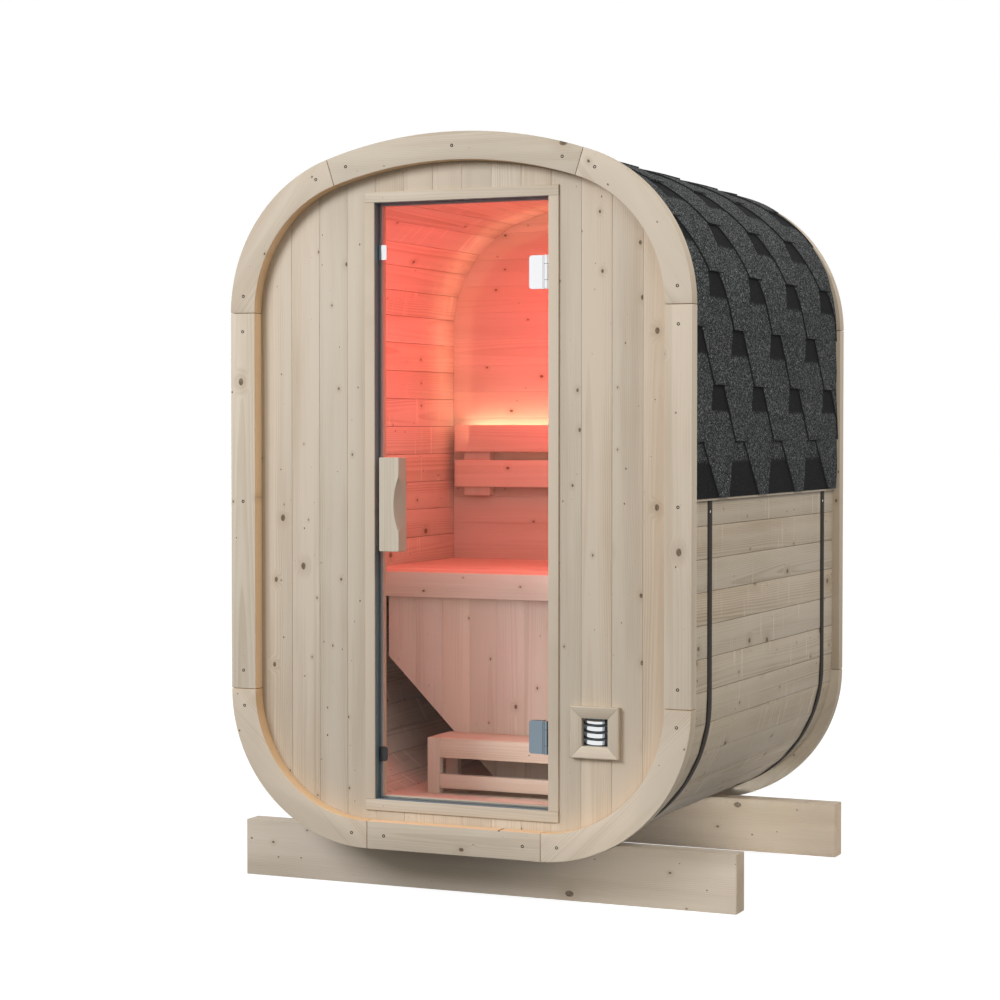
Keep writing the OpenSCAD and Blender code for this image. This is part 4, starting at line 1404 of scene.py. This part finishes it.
@dataclass
class Vent:
    """The mitred frame and the pressed louvres of the vent."""

    outer: float = 142 * MM
    inner: float = 76 * MM
    slope: float = 5 * MM
    hood_count: int = 4
    hood_bulge: float = 7 * MM
    plate_t: float = 3 * MM
    mitre_gap: float = 0.15 * MM
    rim_t: float = 1.2 * MM
    slip: float = 0.3 * MM

    def build(self) -> None:
        """Builds the four mitred members and the louvre plate."""
        low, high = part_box("vent_frame")
        self.middle = (low + high) / 2
        self.wall_y = high.y
        self.front_y = low.y
        frame = Boards("vent_frame_members", 91, 1.0 * MM)
        for turn in range(4):
            self.member(frame, turn)
        frame.finish("cabin", FRAME_SPRUCE, ["vent_frame"])
        self.louvre()

    def member(self, frame: Boards, turn: int) -> None:
        """Adds one mitred member, whose face slopes a little towards the opening."""
        outer, inner = self.outer / 2, self.inner / 2
        section = [(outer, self.wall_y), (outer, self.front_y + 2 * MM), (outer - 3 * MM, self.front_y),
                   (inner + 14 * MM, self.front_y + 0.6 * MM), (inner, self.front_y + self.slope), (inner, self.wall_y)]
        angle = turn * math.pi / 2

        def turned(side: float, out: float, y: float) -> Vector:
            """Turns a place on the upper member to this one."""
            x = side * math.cos(angle) - out * math.sin(angle)
            z = side * math.sin(angle) + out * math.cos(angle)
            return Vector((self.middle.x + x, y, self.middle.z + z))

        bm = lofted([[turned(end * (out - self.mitre_gap), out, y) for out, y in section] for end in (-1.0, 1.0)])
        frame.take(bm, Vector((math.cos(angle), 0.0, math.sin(angle))), -Along.Y, 0.8 * MM)

    def louvre(self) -> None:
        """Builds the plate with its hoods, each over a black patch of painted shade where its slot would be."""
        plate = Fittings("vent_louvre_plate")
        half = self.inner / 2 - self.slip
        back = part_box("vent_louvre")[1].y
        face = back - self.plate_t
        z = self.middle.z
        x0, x1, z0, z1 = self.middle.x - half, self.middle.x + half, z - half, z + half
        plate.slab(rectangle(x0, x1, z0, z1), Plane.XZ, face, back, 0.3 * MM)
        rim, near = self.rim_t, self.wall_y + self.slip
        for edge in ((x0, x0 + rim, z0, z1), (x1 - rim, x1, z0, z1), (x0, x1, z0, z0 + rim), (x0, x1, z1 - rim, z1)):
            plate.slab(rectangle(*edge), Plane.XZ, near, face)
        pitch = self.inner / self.hood_count
        for i in range(self.hood_count):
            self.hood(plate, z - self.inner / 2 + (i + 0.5) * pitch, face, pitch * 0.42, half - 1.5 * MM)
        plate.finish("cabin", [PLATE_STEEL, RUBBER_AND_PAINTED_SHADE, LOUVRE_PAINTED_HIGHLIGHT], ["vent_louvre"])

    def hood(self, plate: Fittings, mid_z: float, face: float, rise: float, half: float) -> None:
        """Adds a hood that swells from its upper edge to a lip, with a painted highlight along its middle, painted
        shade on its lip and right end, and a black patch of painted shade below for the slot.
        """
        bm = bmesh.new()
        columns, levels = 24, 10
        rows = []
        for i in range(columns + 1):
            side = -1.0 + 2.0 * i / columns
            swell = (1.0 - side ** 2) ** 0.6
            row = []
            for k in range(levels + 1):
                share = k / levels
                out = self.hood_bulge * swell * math.sin(share * math.pi / 2) ** 0.8
                z = mid_z + rise - 2 * rise * share * (0.55 + 0.45 * swell)
                row.append(bm.verts.new((self.middle.x + side * half, face - out, z)))
            row.append(bm.verts.new((self.middle.x + side * half, face + 0.4 * MM, row[-1].co.z + 1.2 * MM)))
            rows.append(row)
        for i, (first, second) in enumerate(zip(rows, rows[1:])):
            for k in range(levels + 1):
                shell = bm.faces.new((first[k], second[k], second[k + 1], first[k + 1]))
                # Painted light: the lowest rows and the right end are black painted shade, and the middle is bright
                # steel as a painted highlight.
                dark = k > levels - 2 or i > columns - 5
                bright = k > 1 and 2 < i < columns - 6
                shell.material_index = 1 if dark else 2 if bright else 0
            bm.faces.new((first[-1], second[-1], second[0], first[0]))
        bm.faces.new(rows[0])
        bm.faces.new(rows[-1])
        bmesh.ops.remove_doubles(bm, verts=bm.verts, dist=0.01 * MM)
        plate.take(bm)
        low = mid_z - rise
        reach, sag = half + 1.2 * MM, 2.6 * MM
        # Painted shade: a black patch behind each hood stands for its dark slot.
        slot = rounded_rectangle(
            (self.middle.x - reach, low - sag), (self.middle.x + reach, mid_z + 0.5 * rise), (4 * MM,) * 4)
        plate.slab(slot, Plane.XZ, face - 0.3 * MM, face + 0.5 * MM, 0.0, 1)


# Doorway and door


@dataclass
class DoorFrame:
    """Jambs, head and sill with the stops behind the glass, and a grey seal round the opening."""

    stop: float = 8 * MM
    ease: float = 1.6 * MM
    seal_t: float = 1.6 * MM
    seal_gap: float = 4 * MM
    lip_t: float = 1 * MM

    def build(self) -> None:
        """Builds the frame's four members and the seal."""
        jamb_low, jamb_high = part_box("door_jambs")
        head_low, head_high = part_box("door_head")
        sill_low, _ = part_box("door_sill")
        _, stop_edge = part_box("frame_hinges")
        middle = (head_low.x + head_high.x) / 2
        inner = stop_edge.x - middle
        outer = head_high.x - middle
        self.stop_y = stop_edge.y
        jambs = Boards("door_jamb_boards", 101, self.ease)
        for side in (-1.0, 1.0):
            section = [(inner, jamb_low.y), (outer, jamb_low.y), (outer, jamb_high.y), (inner - self.stop, jamb_high.y),
                       (inner - self.stop, self.stop_y), (inner, self.stop_y)]
            jambs.add([(middle + side * x, y) for x, y in section], Plane.XY, jamb_low.z, jamb_high.z, Along.Z)
        jambs.finish("cabin", FRAME_SPRUCE, ["door_jambs"])
        reach = inner - self.stop
        for node, z0, z1, stop0, stop1 in (
                ("door_head", jamb_high.z, head_high.z, jamb_high.z - self.stop, jamb_high.z),
                ("door_sill", sill_low.z, jamb_low.z, jamb_low.z, jamb_low.z + self.stop)):
            boards = Boards(node + "_board", 105 + len(node), self.ease)
            boards.box(Vector((head_low.x, head_low.y, z0)), Vector((head_high.x, head_high.y, z1)), Along.X)
            boards.box(
                Vector((middle - reach, self.stop_y, stop0)), Vector((middle + reach, head_high.y, stop1)), Along.X)
            boards.finish("cabin", FRAME_SPRUCE, [node])
        self.seal(middle - inner, middle + inner, jamb_low.z, jamb_high.z, jamb_low.y)

    def seal(self, left: float, right: float, low: float, high: float, front: float) -> None:
        """Builds the seal along the left, upper and lower reveals, clear of the glass, and a pale mauve strip in front
        of the stops, painted light on the stop faces.
        """
        near, far = front + self.seal_gap, self.stop_y
        right -= self.seal_gap
        t, inner = self.seal_t, left + self.stop
        strips = Fittings("door_seal")
        for edge in ((left, left + t, low, high), (left + t, right, low, low + t), (left + t, right, high - t, high)):
            strips.slab(rectangle(*edge), Plane.XZ, near, far, 0.3 * MM)
        # Painted light: pale strips in front of the stops.
        for edge in ((left + t, inner, low + t, high - t), (inner, right, high - self.stop, high - t)):
            strips.slab(rectangle(*edge), Plane.XZ, far - self.lip_t, far, 0.0, 1)
        strips.finish("cabin", [SEAL_AND_PAINTED_SHADE, STOP_PAINTED_LIGHT])


@dataclass
class GlassDoor:
    """The frameless glass door with its handle, hinges and catches."""

    scoop_len: float = 160 * MM
    scoop_front: float = 16 * MM
    scoop_side: float = 37 * MM
    handle_ease: float = 1.6 * MM
    handle_step: float = 20 * MM
    scoop_step: float = 5 * MM
    handle_end: float = 12 * MM
    knuckle_r: float = 7 * MM
    hinge_h: float = 92 * MM
    notch_gap: float = 5 * MM
    fixed_knuckle: float = 24 * MM
    washer_t: float = 1.0 * MM

    def build(self) -> None:
        """Builds the pane and everything that is fixed to it."""
        low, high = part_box("door_glass")
        hinge_low, hinge_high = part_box("door_hinges")
        notch_x = hinge_high.x - 2 * self.knuckle_r
        spare = self.hinge_h + self.notch_gap
        outline = [(low.x, low.z), (high.x, low.z)]
        for z0, z1 in ((hinge_low.z - self.notch_gap, hinge_low.z + spare),
                       (hinge_high.z - spare, hinge_high.z + self.notch_gap)):
            outline += [(high.x, z0), (notch_x, z0), (notch_x, z1), (high.x, z1)]
        outline += [(high.x, high.z), (low.x, high.z)]
        pane = Fittings("door_glass_pane")
        pane.slab(outline, Plane.XZ, low.y, high.y)
        pane.finish("door", [GLASS], ["door_glass"])
        # The slate strip round the pane is painted shade.
        self.glass_edge_painted_shade(low, high)
        self.hinge_joints()
        self.handle()
        self.catch("upper_catch", CHROME, 5 * MM)
        self.catch("lower_catch", BLACK_PLASTIC, 9 * MM)

    def glass_edge_painted_shade(self, low: Vector, high: Vector) -> None:
        """Builds the pane's ground edge as a slate strip just inside the glass, painted shade that hides what the edge
        would reflect.
        """
        slip, width = 0.05 * MM, 0.6 * MM
        x0, x1, z0, z1 = low.x + slip, high.x - slip, low.z + slip, high.z - slip
        edges = Fittings("glass_edge_shade_strip")
        for edge in ((x0, x0 + width, z0, z1), (x0 + width, x1, z1 - width, z1), (x0 + width, x1, z0, z0 + width)):
            edges.slab(rectangle(*edge), Plane.XZ, low.y + slip, high.y - slip)
        edges.finish("door", [SEAL_AND_PAINTED_SHADE])

    def hinge_joints(self) -> None:
        """Builds the thin black washers between the knuckles, and the line between each plate and its barrel."""
        low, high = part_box("door_hinges")
        fixed_low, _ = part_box("frame_hinges")
        axis_x, axis_y = high.x - self.knuckle_r, fixed_low.y + self.knuckle_r
        joints = Fittings("hinge_washers")
        half = self.washer_t / 2
        rim = self.knuckle_r + 0.15 * MM
        disc = [(0.0, -half), (rim, -half), (rim, half), (0.0, half)]
        for base in (low.z, high.z - self.hinge_h):
            for level in (self.fixed_knuckle, self.hinge_h - self.fixed_knuckle):
                joints.turned(disc, Vector((axis_x, axis_y, base + level)), Along.Z, 28)
            line_x = axis_x - self.knuckle_r - 1.2 * MM
            line = rectangle(line_x, line_x + 0.9 * MM, base + 1 * MM, base + self.hinge_h - 1 * MM)
            joints.slab(line, Plane.XZ, low.y - 0.25 * MM, low.y + 0.5 * MM)
        joints.finish("door", [RUBBER_AND_PAINTED_SHADE])

    def handle(self) -> None:
        """Builds the handle block level by level, so that the scoop cuts its front corner."""
        low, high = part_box("door_handle")
        mid = (low.z + high.z) / 2
        depth = self.scoop_front * self.scoop_side / math.hypot(self.scoop_front, self.scoop_side)
        radius = ((self.scoop_len / 2) ** 2 + depth ** 2) / (2 * depth)
        e = self.handle_ease
        scoop_low, scoop_high = mid - self.scoop_len / 2, mid + self.scoop_len / 2
        levels = [low.z, low.z + e] + spaced(low.z + self.handle_end, scoop_low, self.handle_step)
        levels += spaced(scoop_low, scoop_high, self.scoop_step)[1:]
        levels += spaced(scoop_high, high.z - self.handle_end, self.handle_step)[1:] + [high.z - e, high.z]
        rows = []
        for z in levels:
            cut = depth - radius + math.sqrt(radius ** 2 - min(abs(z - mid), radius) ** 2)
            share = max(0.0, cut) / depth
            inset = e if z in (low.z, high.z) else 0.0
            x0, x1, y0, y1 = low.x + inset, high.x - inset, low.y + inset, high.y
            fx, fy = max(e, self.scoop_front * share), max(e, self.scoop_side * share)
            points = [(x0 + e, y0), (x1 - fx, y0), (x1, y0 + fy), (x1, y1), (x0, y1), (x0, y0 + e)]
            rows.append([Vector((x, y, z)) for x, y in points])
        boards = Boards("door_handle_block", 121)
        boards.take(lofted(rows), Along.Z, -Along.Y, 0.0)
        boards.finish("door", HANDLE_SPRUCE, ["door_handle"])

    def catch(self, node: str, finish: Finish, corner: float) -> None:
        """Builds a catch plate with rounded corners away from the pane's edge."""
        low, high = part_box(node)
        plate = Fittings(node + "_plate")
        outline = rounded_rectangle((low.x, low.z), (high.x, high.z), (0.0, corner, corner, 0.0))
        plate.slab(outline, Plane.XZ, low.y, high.y, 0.8 * MM)
        plate.finish("door", [finish], [node])


# Base


@dataclass
class Skids:
    """The two square-edged timbers under the shell."""

    ease: float = 2.5 * MM

    def build(self) -> None:
        """Builds both skids."""
        for number, node in enumerate(("front_skid", "rear_skid")):
            straight_board(node, node + "_timber", 131 + number, self.ease, SKID_SPRUCE)


def straight_board(node: str, name: str, seed: int, ease: float, finish: Finish) -> None:
    """Builds a node that is one straight board across the width.

    Args:
        node: The node that it stands for.
        name: The piece's name.
        seed: The seed of its grain.
        ease: The rounding of its edges.
        finish: Its finish.
    """
    boards = Boards(name, seed, ease)
    boards.box(*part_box(node), Along.X)
    boards.finish("cabin", finish, [node])


# Furniture


@dataclass
class Furniture:
    """Deck, bench, step, backrest and light strip."""

    outline: Outline
    inset: float = 68.3 * MM
    board: float = 88 * MM
    gap: float = 5 * MM
    ease: float = 2.0 * MM
    cut_start: float = 482 * MM
    fascia_h: float = 59 * MM
    low_slat_h: float = 41 * MM
    slat_h: float = 89 * MM
    batten_w: float = 96 * MM
    cover_t: float = 5 * MM

    def build(self) -> None:
        """Builds everything inside."""
        self.deck()
        self.planks("bench_top", 142)
        straight_board("bench_fascia", "bench_fascia_board", 143, self.ease, INSIDE_SPRUCE)
        self.skirt()
        self.planks("step_top", 145)
        self.step()
        self.backrest()

    def planks(self, node: str, seed: int) -> None:
        """Fills a node's box with equal boards from its front to its rear."""
        low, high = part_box(node)
        span = high.y - low.y + self.gap
        count = max(1, round(span / (self.board + self.gap)))
        width = span / count
        boards = Boards(node + "_boards", seed, self.ease)
        for i in range(count):
            near = low.y + i * width
            boards.box(Vector((low.x, near, low.z)), Vector((high.x, near + width - self.gap, high.z)),
                       Along.X, Plane.XY)
        boards.finish("cabin", INSIDE_SPRUCE, [node])

    def deck(self) -> None:
        """Lays the floor boards, whose outer ones follow the curve of the shell."""
        low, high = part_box("floor_deck")
        flat = self.outline.foot_x
        count = round(2 * flat / self.board)
        joints = [-flat + 2 * flat * i / count for i in range(count + 1)]
        boards = Boards("floor_deck_boards", 141, self.ease)
        for start, end in zip(joints, joints[1:]):
            boards.add(rectangle(start, end, low.z, high.z), Plane.XZ, low.y, high.y, Along.Y)
        for side in (-1.0, 1.0):
            curve = [(side * x, self.outline.bottom(x, self.inset)) for x in spaced(flat, high.x, 12 * MM)]
            curve[-1] = (side * high.x, high.z)
            boards.add(curve + [(side * flat, high.z)], Plane.XZ, low.y, high.y, Along.Y, 0.5 * MM)
        boards.finish("cabin", INSIDE_SPRUCE, ["floor_deck"])

    def skirt(self) -> None:
        """Builds the bench's skirt of upright boards with its lower corners cut off."""
        low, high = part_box("bench_skirt")
        cut_z = self.cut_start + self.outline.base_z
        foot = high.x - (cut_z - low.z)
        count = round((high.x - low.x) / self.board)
        width = (high.x - low.x) / count
        boards = Boards("bench_skirt_boards", 144, 1.2 * MM)

        def floor(x: float) -> float:
            """Height of the skirt's lower edge."""
            return low.z + max(0.0, abs(x) - foot)

        for i in range(count):
            start = low.x + i * width
            marks = sorted({start, start + width} | {x for x in (-foot, foot) if start < x < start + width})
            outline = [(x, floor(x)) for x in marks] + [(start + width, high.z), (start, high.z)]
            boards.add(outline, Plane.XZ, low.y, high.y, Along.Z)
        boards.finish("cabin", INSIDE_SPRUCE, ["bench_skirt"])

    def step(self) -> None:
        """Builds the step's fascia, lower slat and legs."""
        low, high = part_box("step_front")
        leg_low, leg_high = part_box("step_legs")
        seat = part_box("step_top")[0].z
        front = Boards("step_front_boards", 146, self.ease)
        front.box(Vector((low.x, low.y, high.z - self.fascia_h)), high, Along.X)
        front.box(low, Vector((high.x, high.y, low.z + self.low_slat_h)), Along.X)
        front.finish("cabin", INSIDE_SPRUCE, ["step_front"])
        legs = Boards("step_leg_posts", 147, self.ease)
        near, far = leg_low.y + high.y - low.y, leg_high.y - (high.y - low.y)
        for x0, x1 in ((leg_low.x, low.x), (high.x, leg_high.x)):
            legs.box(Vector((x0, leg_low.y, leg_low.z)), Vector((x1, near, leg_high.z)), Along.Z)
            legs.box(Vector((x0, far, leg_low.z)), Vector((x1, leg_high.y, seat)), Along.Z)
            legs.box(Vector((x0, near, high.z - self.fascia_h)), Vector((x1, far, seat)), Along.Y, Plane.YZ)
        legs.finish("cabin", INSIDE_SPRUCE, ["step_legs"])

    def backrest(self) -> None:
        """Builds the backrest's two slats and their battens, and the light strip behind them."""
        low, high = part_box("backrest_slats")
        slats = Boards("backrest_slat_boards", 148, self.ease)
        for z0 in (low.z, high.z - self.slat_h):
            slats.box(Vector((low.x, low.y, z0)), Vector((high.x, high.y, z0 + self.slat_h)), Along.X)
        slats.finish("cabin", INSIDE_SPRUCE, ["backrest_slats"])
        low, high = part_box("backrest_battens")
        battens = Boards("backrest_batten_posts", 149, self.ease)
        for x0 in (low.x, high.x - self.batten_w):
            battens.box(Vector((x0, low.y, low.z)), Vector((x0 + self.batten_w, high.y, high.z)), Along.Z)
        battens.finish("cabin", INSIDE_SPRUCE, ["backrest_battens"])
        low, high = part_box("light_strip")
        strip = Fittings("light_strip_cover")
        level = high.z - self.cover_t
        strip.slab(rectangle(low.y, high.y, level, high.z), Plane.YZ, low.x, high.x, 1.0 * MM)
        strip.slab(rectangle(low.y, high.y, low.z, level), Plane.YZ, low.x, high.x, 0.0, 1)
        strip.finish("cabin", [GLOW, HOUSING], ["light_strip"])


# Stage


@dataclass(frozen=True)
class Lamp:
    """A flat soft lamp that is itself unseen."""

    name: str
    place: Vector
    way: Vector
    size: tuple[float, float]
    watts: float
    colour: Colour
    spread: float = 180.0

    def build(self) -> None:
        """Adds the lamp, which shines along its way with its spread in degrees."""
        light = bpy.data.lights.new(self.name, "AREA")
        light.shape = "RECTANGLE"
        light.size, light.size_y = self.size
        light.energy = self.watts
        light.color = self.colour
        light.spread = math.radians(self.spread)
        lamp = bpy.data.objects.new(self.name, light)
        lamp.location = self.place
        lamp.rotation_euler = self.way.to_track_quat("-Z", "Y").to_euler()
        lamp.visible_camera = False
        lamp.visible_glossy = False
        lamp.visible_transmission = False
        bpy.context.scene.collection.objects.link(lamp)


@dataclass
class Stage:
    """Camera, lamps, world and floor."""

    camera_at: tuple[float, float, float] = (2.8349, -6.8319, 1.3275)
    turn: float = 23.787
    drop: float = 1.71
    lens: float = 87.72
    ambient: float = 0.46
    shade_tone: Colour = (1.0, 0.95, 0.885)
    bounce: float = 0.08
    floor_glow: float = 1.25
    floor_glow_share: float = 0.72

    def build(self) -> None:
        """Sets up the camera, the light and the floor."""
        scene = bpy.context.scene
        scene.view_settings.view_transform = "Standard"
        lens = bpy.data.cameras.new("photo_camera")
        lens.sensor_width = 36.0
        lens.lens = self.lens
        camera = bpy.data.objects.new("photo_camera", lens)
        camera.location = self.camera_at
        camera.rotation_euler = (math.radians(90.0 - self.drop), 0.0, math.radians(self.turn))
        scene.collection.objects.link(camera)
        scene.camera = camera
        self.world(scene)
        self.floor(scene)
        self.lamp("key_left", (-2.9, -6.0, 4.2), (0.0, -0.7, 1.2), 2.8, 326.0, (0.97, 1.0, 1.06))
        self.lamp("right_side", (4.6, -0.6, 4.6), (0.4, 0.0, 1.1), 2.6, 94.0, (1.0, 0.98, 0.96))
        self.lamp("right_front", (4.5, -5.5, 2.2), (0.3, 0.0, 1.0), 2.0, 40.0, (1.0, 0.97, 0.9))
        self.lamp("front_skid_fill", (1.9, -4.8, 0.5), (0.5, -0.53, 0.0), 0.4, 0.32, (1.0, 0.98, 0.95), 12.0)
        self.lamp("rear_skid_fill", (3.2, -3.0, 0.35), (0.55, 0.43, 0.05), 0.4, 0.42, (1.0, 0.98, 0.95), 8.0)
        self.lamp("rear_fill", (-2.0, 6.0, 4.0), (0.0, 0.0, 1.0), 3.5, 110.0, (1.0, 1.0, 1.0))

    @staticmethod
    def lamp(name: str, place: Sequence[float], aim: Sequence[float], size: float, watts: float, colour: Colour,
             spread: float = 180.0) -> None:
        """Adds a square lamp that shines at a point."""
        Lamp(name, Vector(place), Vector(aim) - Vector(place), (size, size), watts, colour, spread).build()

    def world(self, scene: bpy.types.Scene) -> None:
        """Makes a white surround that lights the object softly."""
        world = bpy.data.worlds.new("studio")
        scene.world = world
        world.use_nodes = True
        graph = Graph(world.node_tree)
        back = world.node_tree.nodes["Background"]
        seen = self.in_view(graph)
        graph.feed(back.inputs["Color"], graph.mixed(seen, self.shade_tone, (1.0, 1.0, 1.0)))
        graph.feed(back.inputs["Strength"], graph.ramp(seen, 0.0, 1.0, self.ambient, 1.0))

    @staticmethod
    def in_view(graph: Graph) -> Socket:
        """Tells rays that show the background, straight or by metal and glass, from rays that gather light."""
        path = graph.node("ShaderNodeLightPath")
        seen = graph.maths("MAXIMUM", path.outputs["Is Camera Ray"], path.outputs["Is Glossy Ray"])
        seen = graph.maths("MAXIMUM", seen, path.outputs["Is Transmission Ray"])
        return graph.times(seen, graph.maths("LESS_THAN", path.outputs["Diffuse Depth"], 0.5))

    def floor(self, scene: bpy.types.Scene) -> None:
        """Lays a pale floor that keeps the object's shadow."""
        bm = bmesh.new()
        bmesh.ops.create_grid(bm, x_segments=2, y_segments=2, size=40.0)
        bmesh.ops.translate(bm, verts=bm.verts, vec=(0.0, 0.0, -0.2 * MM))
        mesh = bpy.data.meshes.new("studio_floor")
        bm.to_mesh(mesh)
        bm.free()
        floor = bpy.data.objects.new("studio_floor", mesh)
        scene.collection.objects.link(floor)
        made = bpy.data.materials.new("studio_floor")
        made.use_nodes = True
        graph = Graph(made.node_tree)
        shader = made.node_tree.nodes["Principled BSDF"]
        place = graph.node("ShaderNodeTexCoord").outputs["Object"]
        tone = graph.mixed(graph.noise(place, 3.0), (0.86, 0.86, 0.86), (0.9, 0.9, 0.9))
        seen = self.in_view(graph)
        graph.feed(shader.inputs["Base Color"], graph.mixed(seen, (self.bounce,) * 3, tone))
        shader.inputs["Roughness"].default_value = 0.9
        shader.inputs["Specular IOR Level"].default_value = 0.1
        white = graph.node("ShaderNodeEmission")
        white.inputs["Strength"].default_value = self.floor_glow
        blend = graph.node("ShaderNodeMixShader")
        graph.feed(blend.inputs[0], graph.times(seen, self.floor_glow_share))
        graph.feed(blend.inputs[1], shader.outputs[0])
        graph.feed(blend.inputs[2], white.outputs[0])
        graph.feed(made.node_tree.nodes["Material Output"].inputs["Surface"], blend.outputs[0])
        mesh.materials.append(made)


@dataclass
class InsideLight:
    """The coloured lamps inside, which have no visible fitting."""

    outline: Outline
    red: Colour = (1.0, 0.028, 0.035)
    watts: float = 9.0
    rising_watts: float = 5.4
    fill: Colour = (1.0, 0.66, 0.64)
    fill_watts: float = 1.25
    arch: Colour = (1.0, 0.46, 0.3)
    arch_watts: float = 0.037
    arch_steps: int = 10
    arch_pitch: float = 0.11
    arch_width: float = 0.1
    arch_depth: float = 0.15
    arch_from_rear: float = 0.09
    red_size: tuple[float, float] = (0.7, 0.9)
    doorway_size: tuple[float, float] = (0.42, 1.5)
    doorway_gap: float = 60 * MM
    wash_width: float = 10 * MM
    wash_gap: float = 4 * MM
    wash: Colour = (1.0, 0.42, 0.3)
    wash_watts: float = 2.0
    daylight: Colour = (1.0, 0.84, 0.94)
    door_watts: float = 3.0

    def build(self) -> None:
        """Places the red light, the light that the strip throws up the shell's rear, and a little daylight."""
        Lamp("inside_red", Vector((0.0, 0.0, 2.0)), -Along.Z, self.red_size, self.watts, self.red).build()
        Lamp("inside_red_rising", Vector((0.0, 0.0, 1.2)), Along.Z, self.red_size, self.rising_watts, self.red).build()
        Lamp("rear_fill_inside", Vector((0.1, -0.2, 1.5)), Vector((-0.25, 0.8, -0.5)), (0.4, 0.4),
             self.fill_watts, self.fill).build()
        rear_low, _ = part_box("rear_wall")
        crown = self.outline.length(self.arch_depth)
        for step in range(self.arch_steps):
            spot, out = self.outline.at((step + 0.5) * self.arch_pitch - crown, self.arch_depth)
            spot.y = rear_low.y - self.arch_from_rear
            Lamp(f"arch_{step}", spot, out, (self.arch_width, self.arch_pitch), self.arch_watts, self.arch).build()
        low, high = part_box("light_strip")
        place = Vector(((low.x + high.x) / 2, low.y - self.wash_gap, high.z + self.wash_gap))
        Lamp("strip_wash", place, Along.Z, (high.x - low.x, self.wash_width), self.wash_watts, self.wash).build()
        low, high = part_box("door_glass")
        place = Vector(((low.x + high.x) / 2, high.y + self.doorway_gap, (low.z + high.z) / 2))
        way = Vector((0.0, 1.0, -0.05))
        Lamp("doorway_light", place, way, self.doorway_size, self.door_watts, self.daylight).build()


METAL_NODES = {"door_hinges": HINGE_STEEL, "frame_hinges": HINGE_STEEL}


def dress_left_nodes(frame: dict) -> None:
    """Gives the nodes that stay as packed their finishes."""
    for node, finish in METAL_NODES.items():
        shown = frame["nodes"][node]
        shown.data.materials.clear()
        shown.data.materials.append(finish.material())
        LOG.info("%s keeps its packed shape", node)


def main() -> None:
    """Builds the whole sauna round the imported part."""
    logging.basicConfig(level=logging.INFO, format="%(message)s")
    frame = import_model()
    outline = Outline.from_frame()
    for assembly in (
            Stage(), Rings(outline), Shell(outline), Bands(outline), Roof(outline), FrontWall(outline),
            RearWall(outline), Vent(), DoorFrame(), GlassDoor(), Skids(), Furniture(outline), InsideLight(outline)):
        assembly.build()
    dress_left_nodes(frame)


if __name__ == "__main__":
    main()
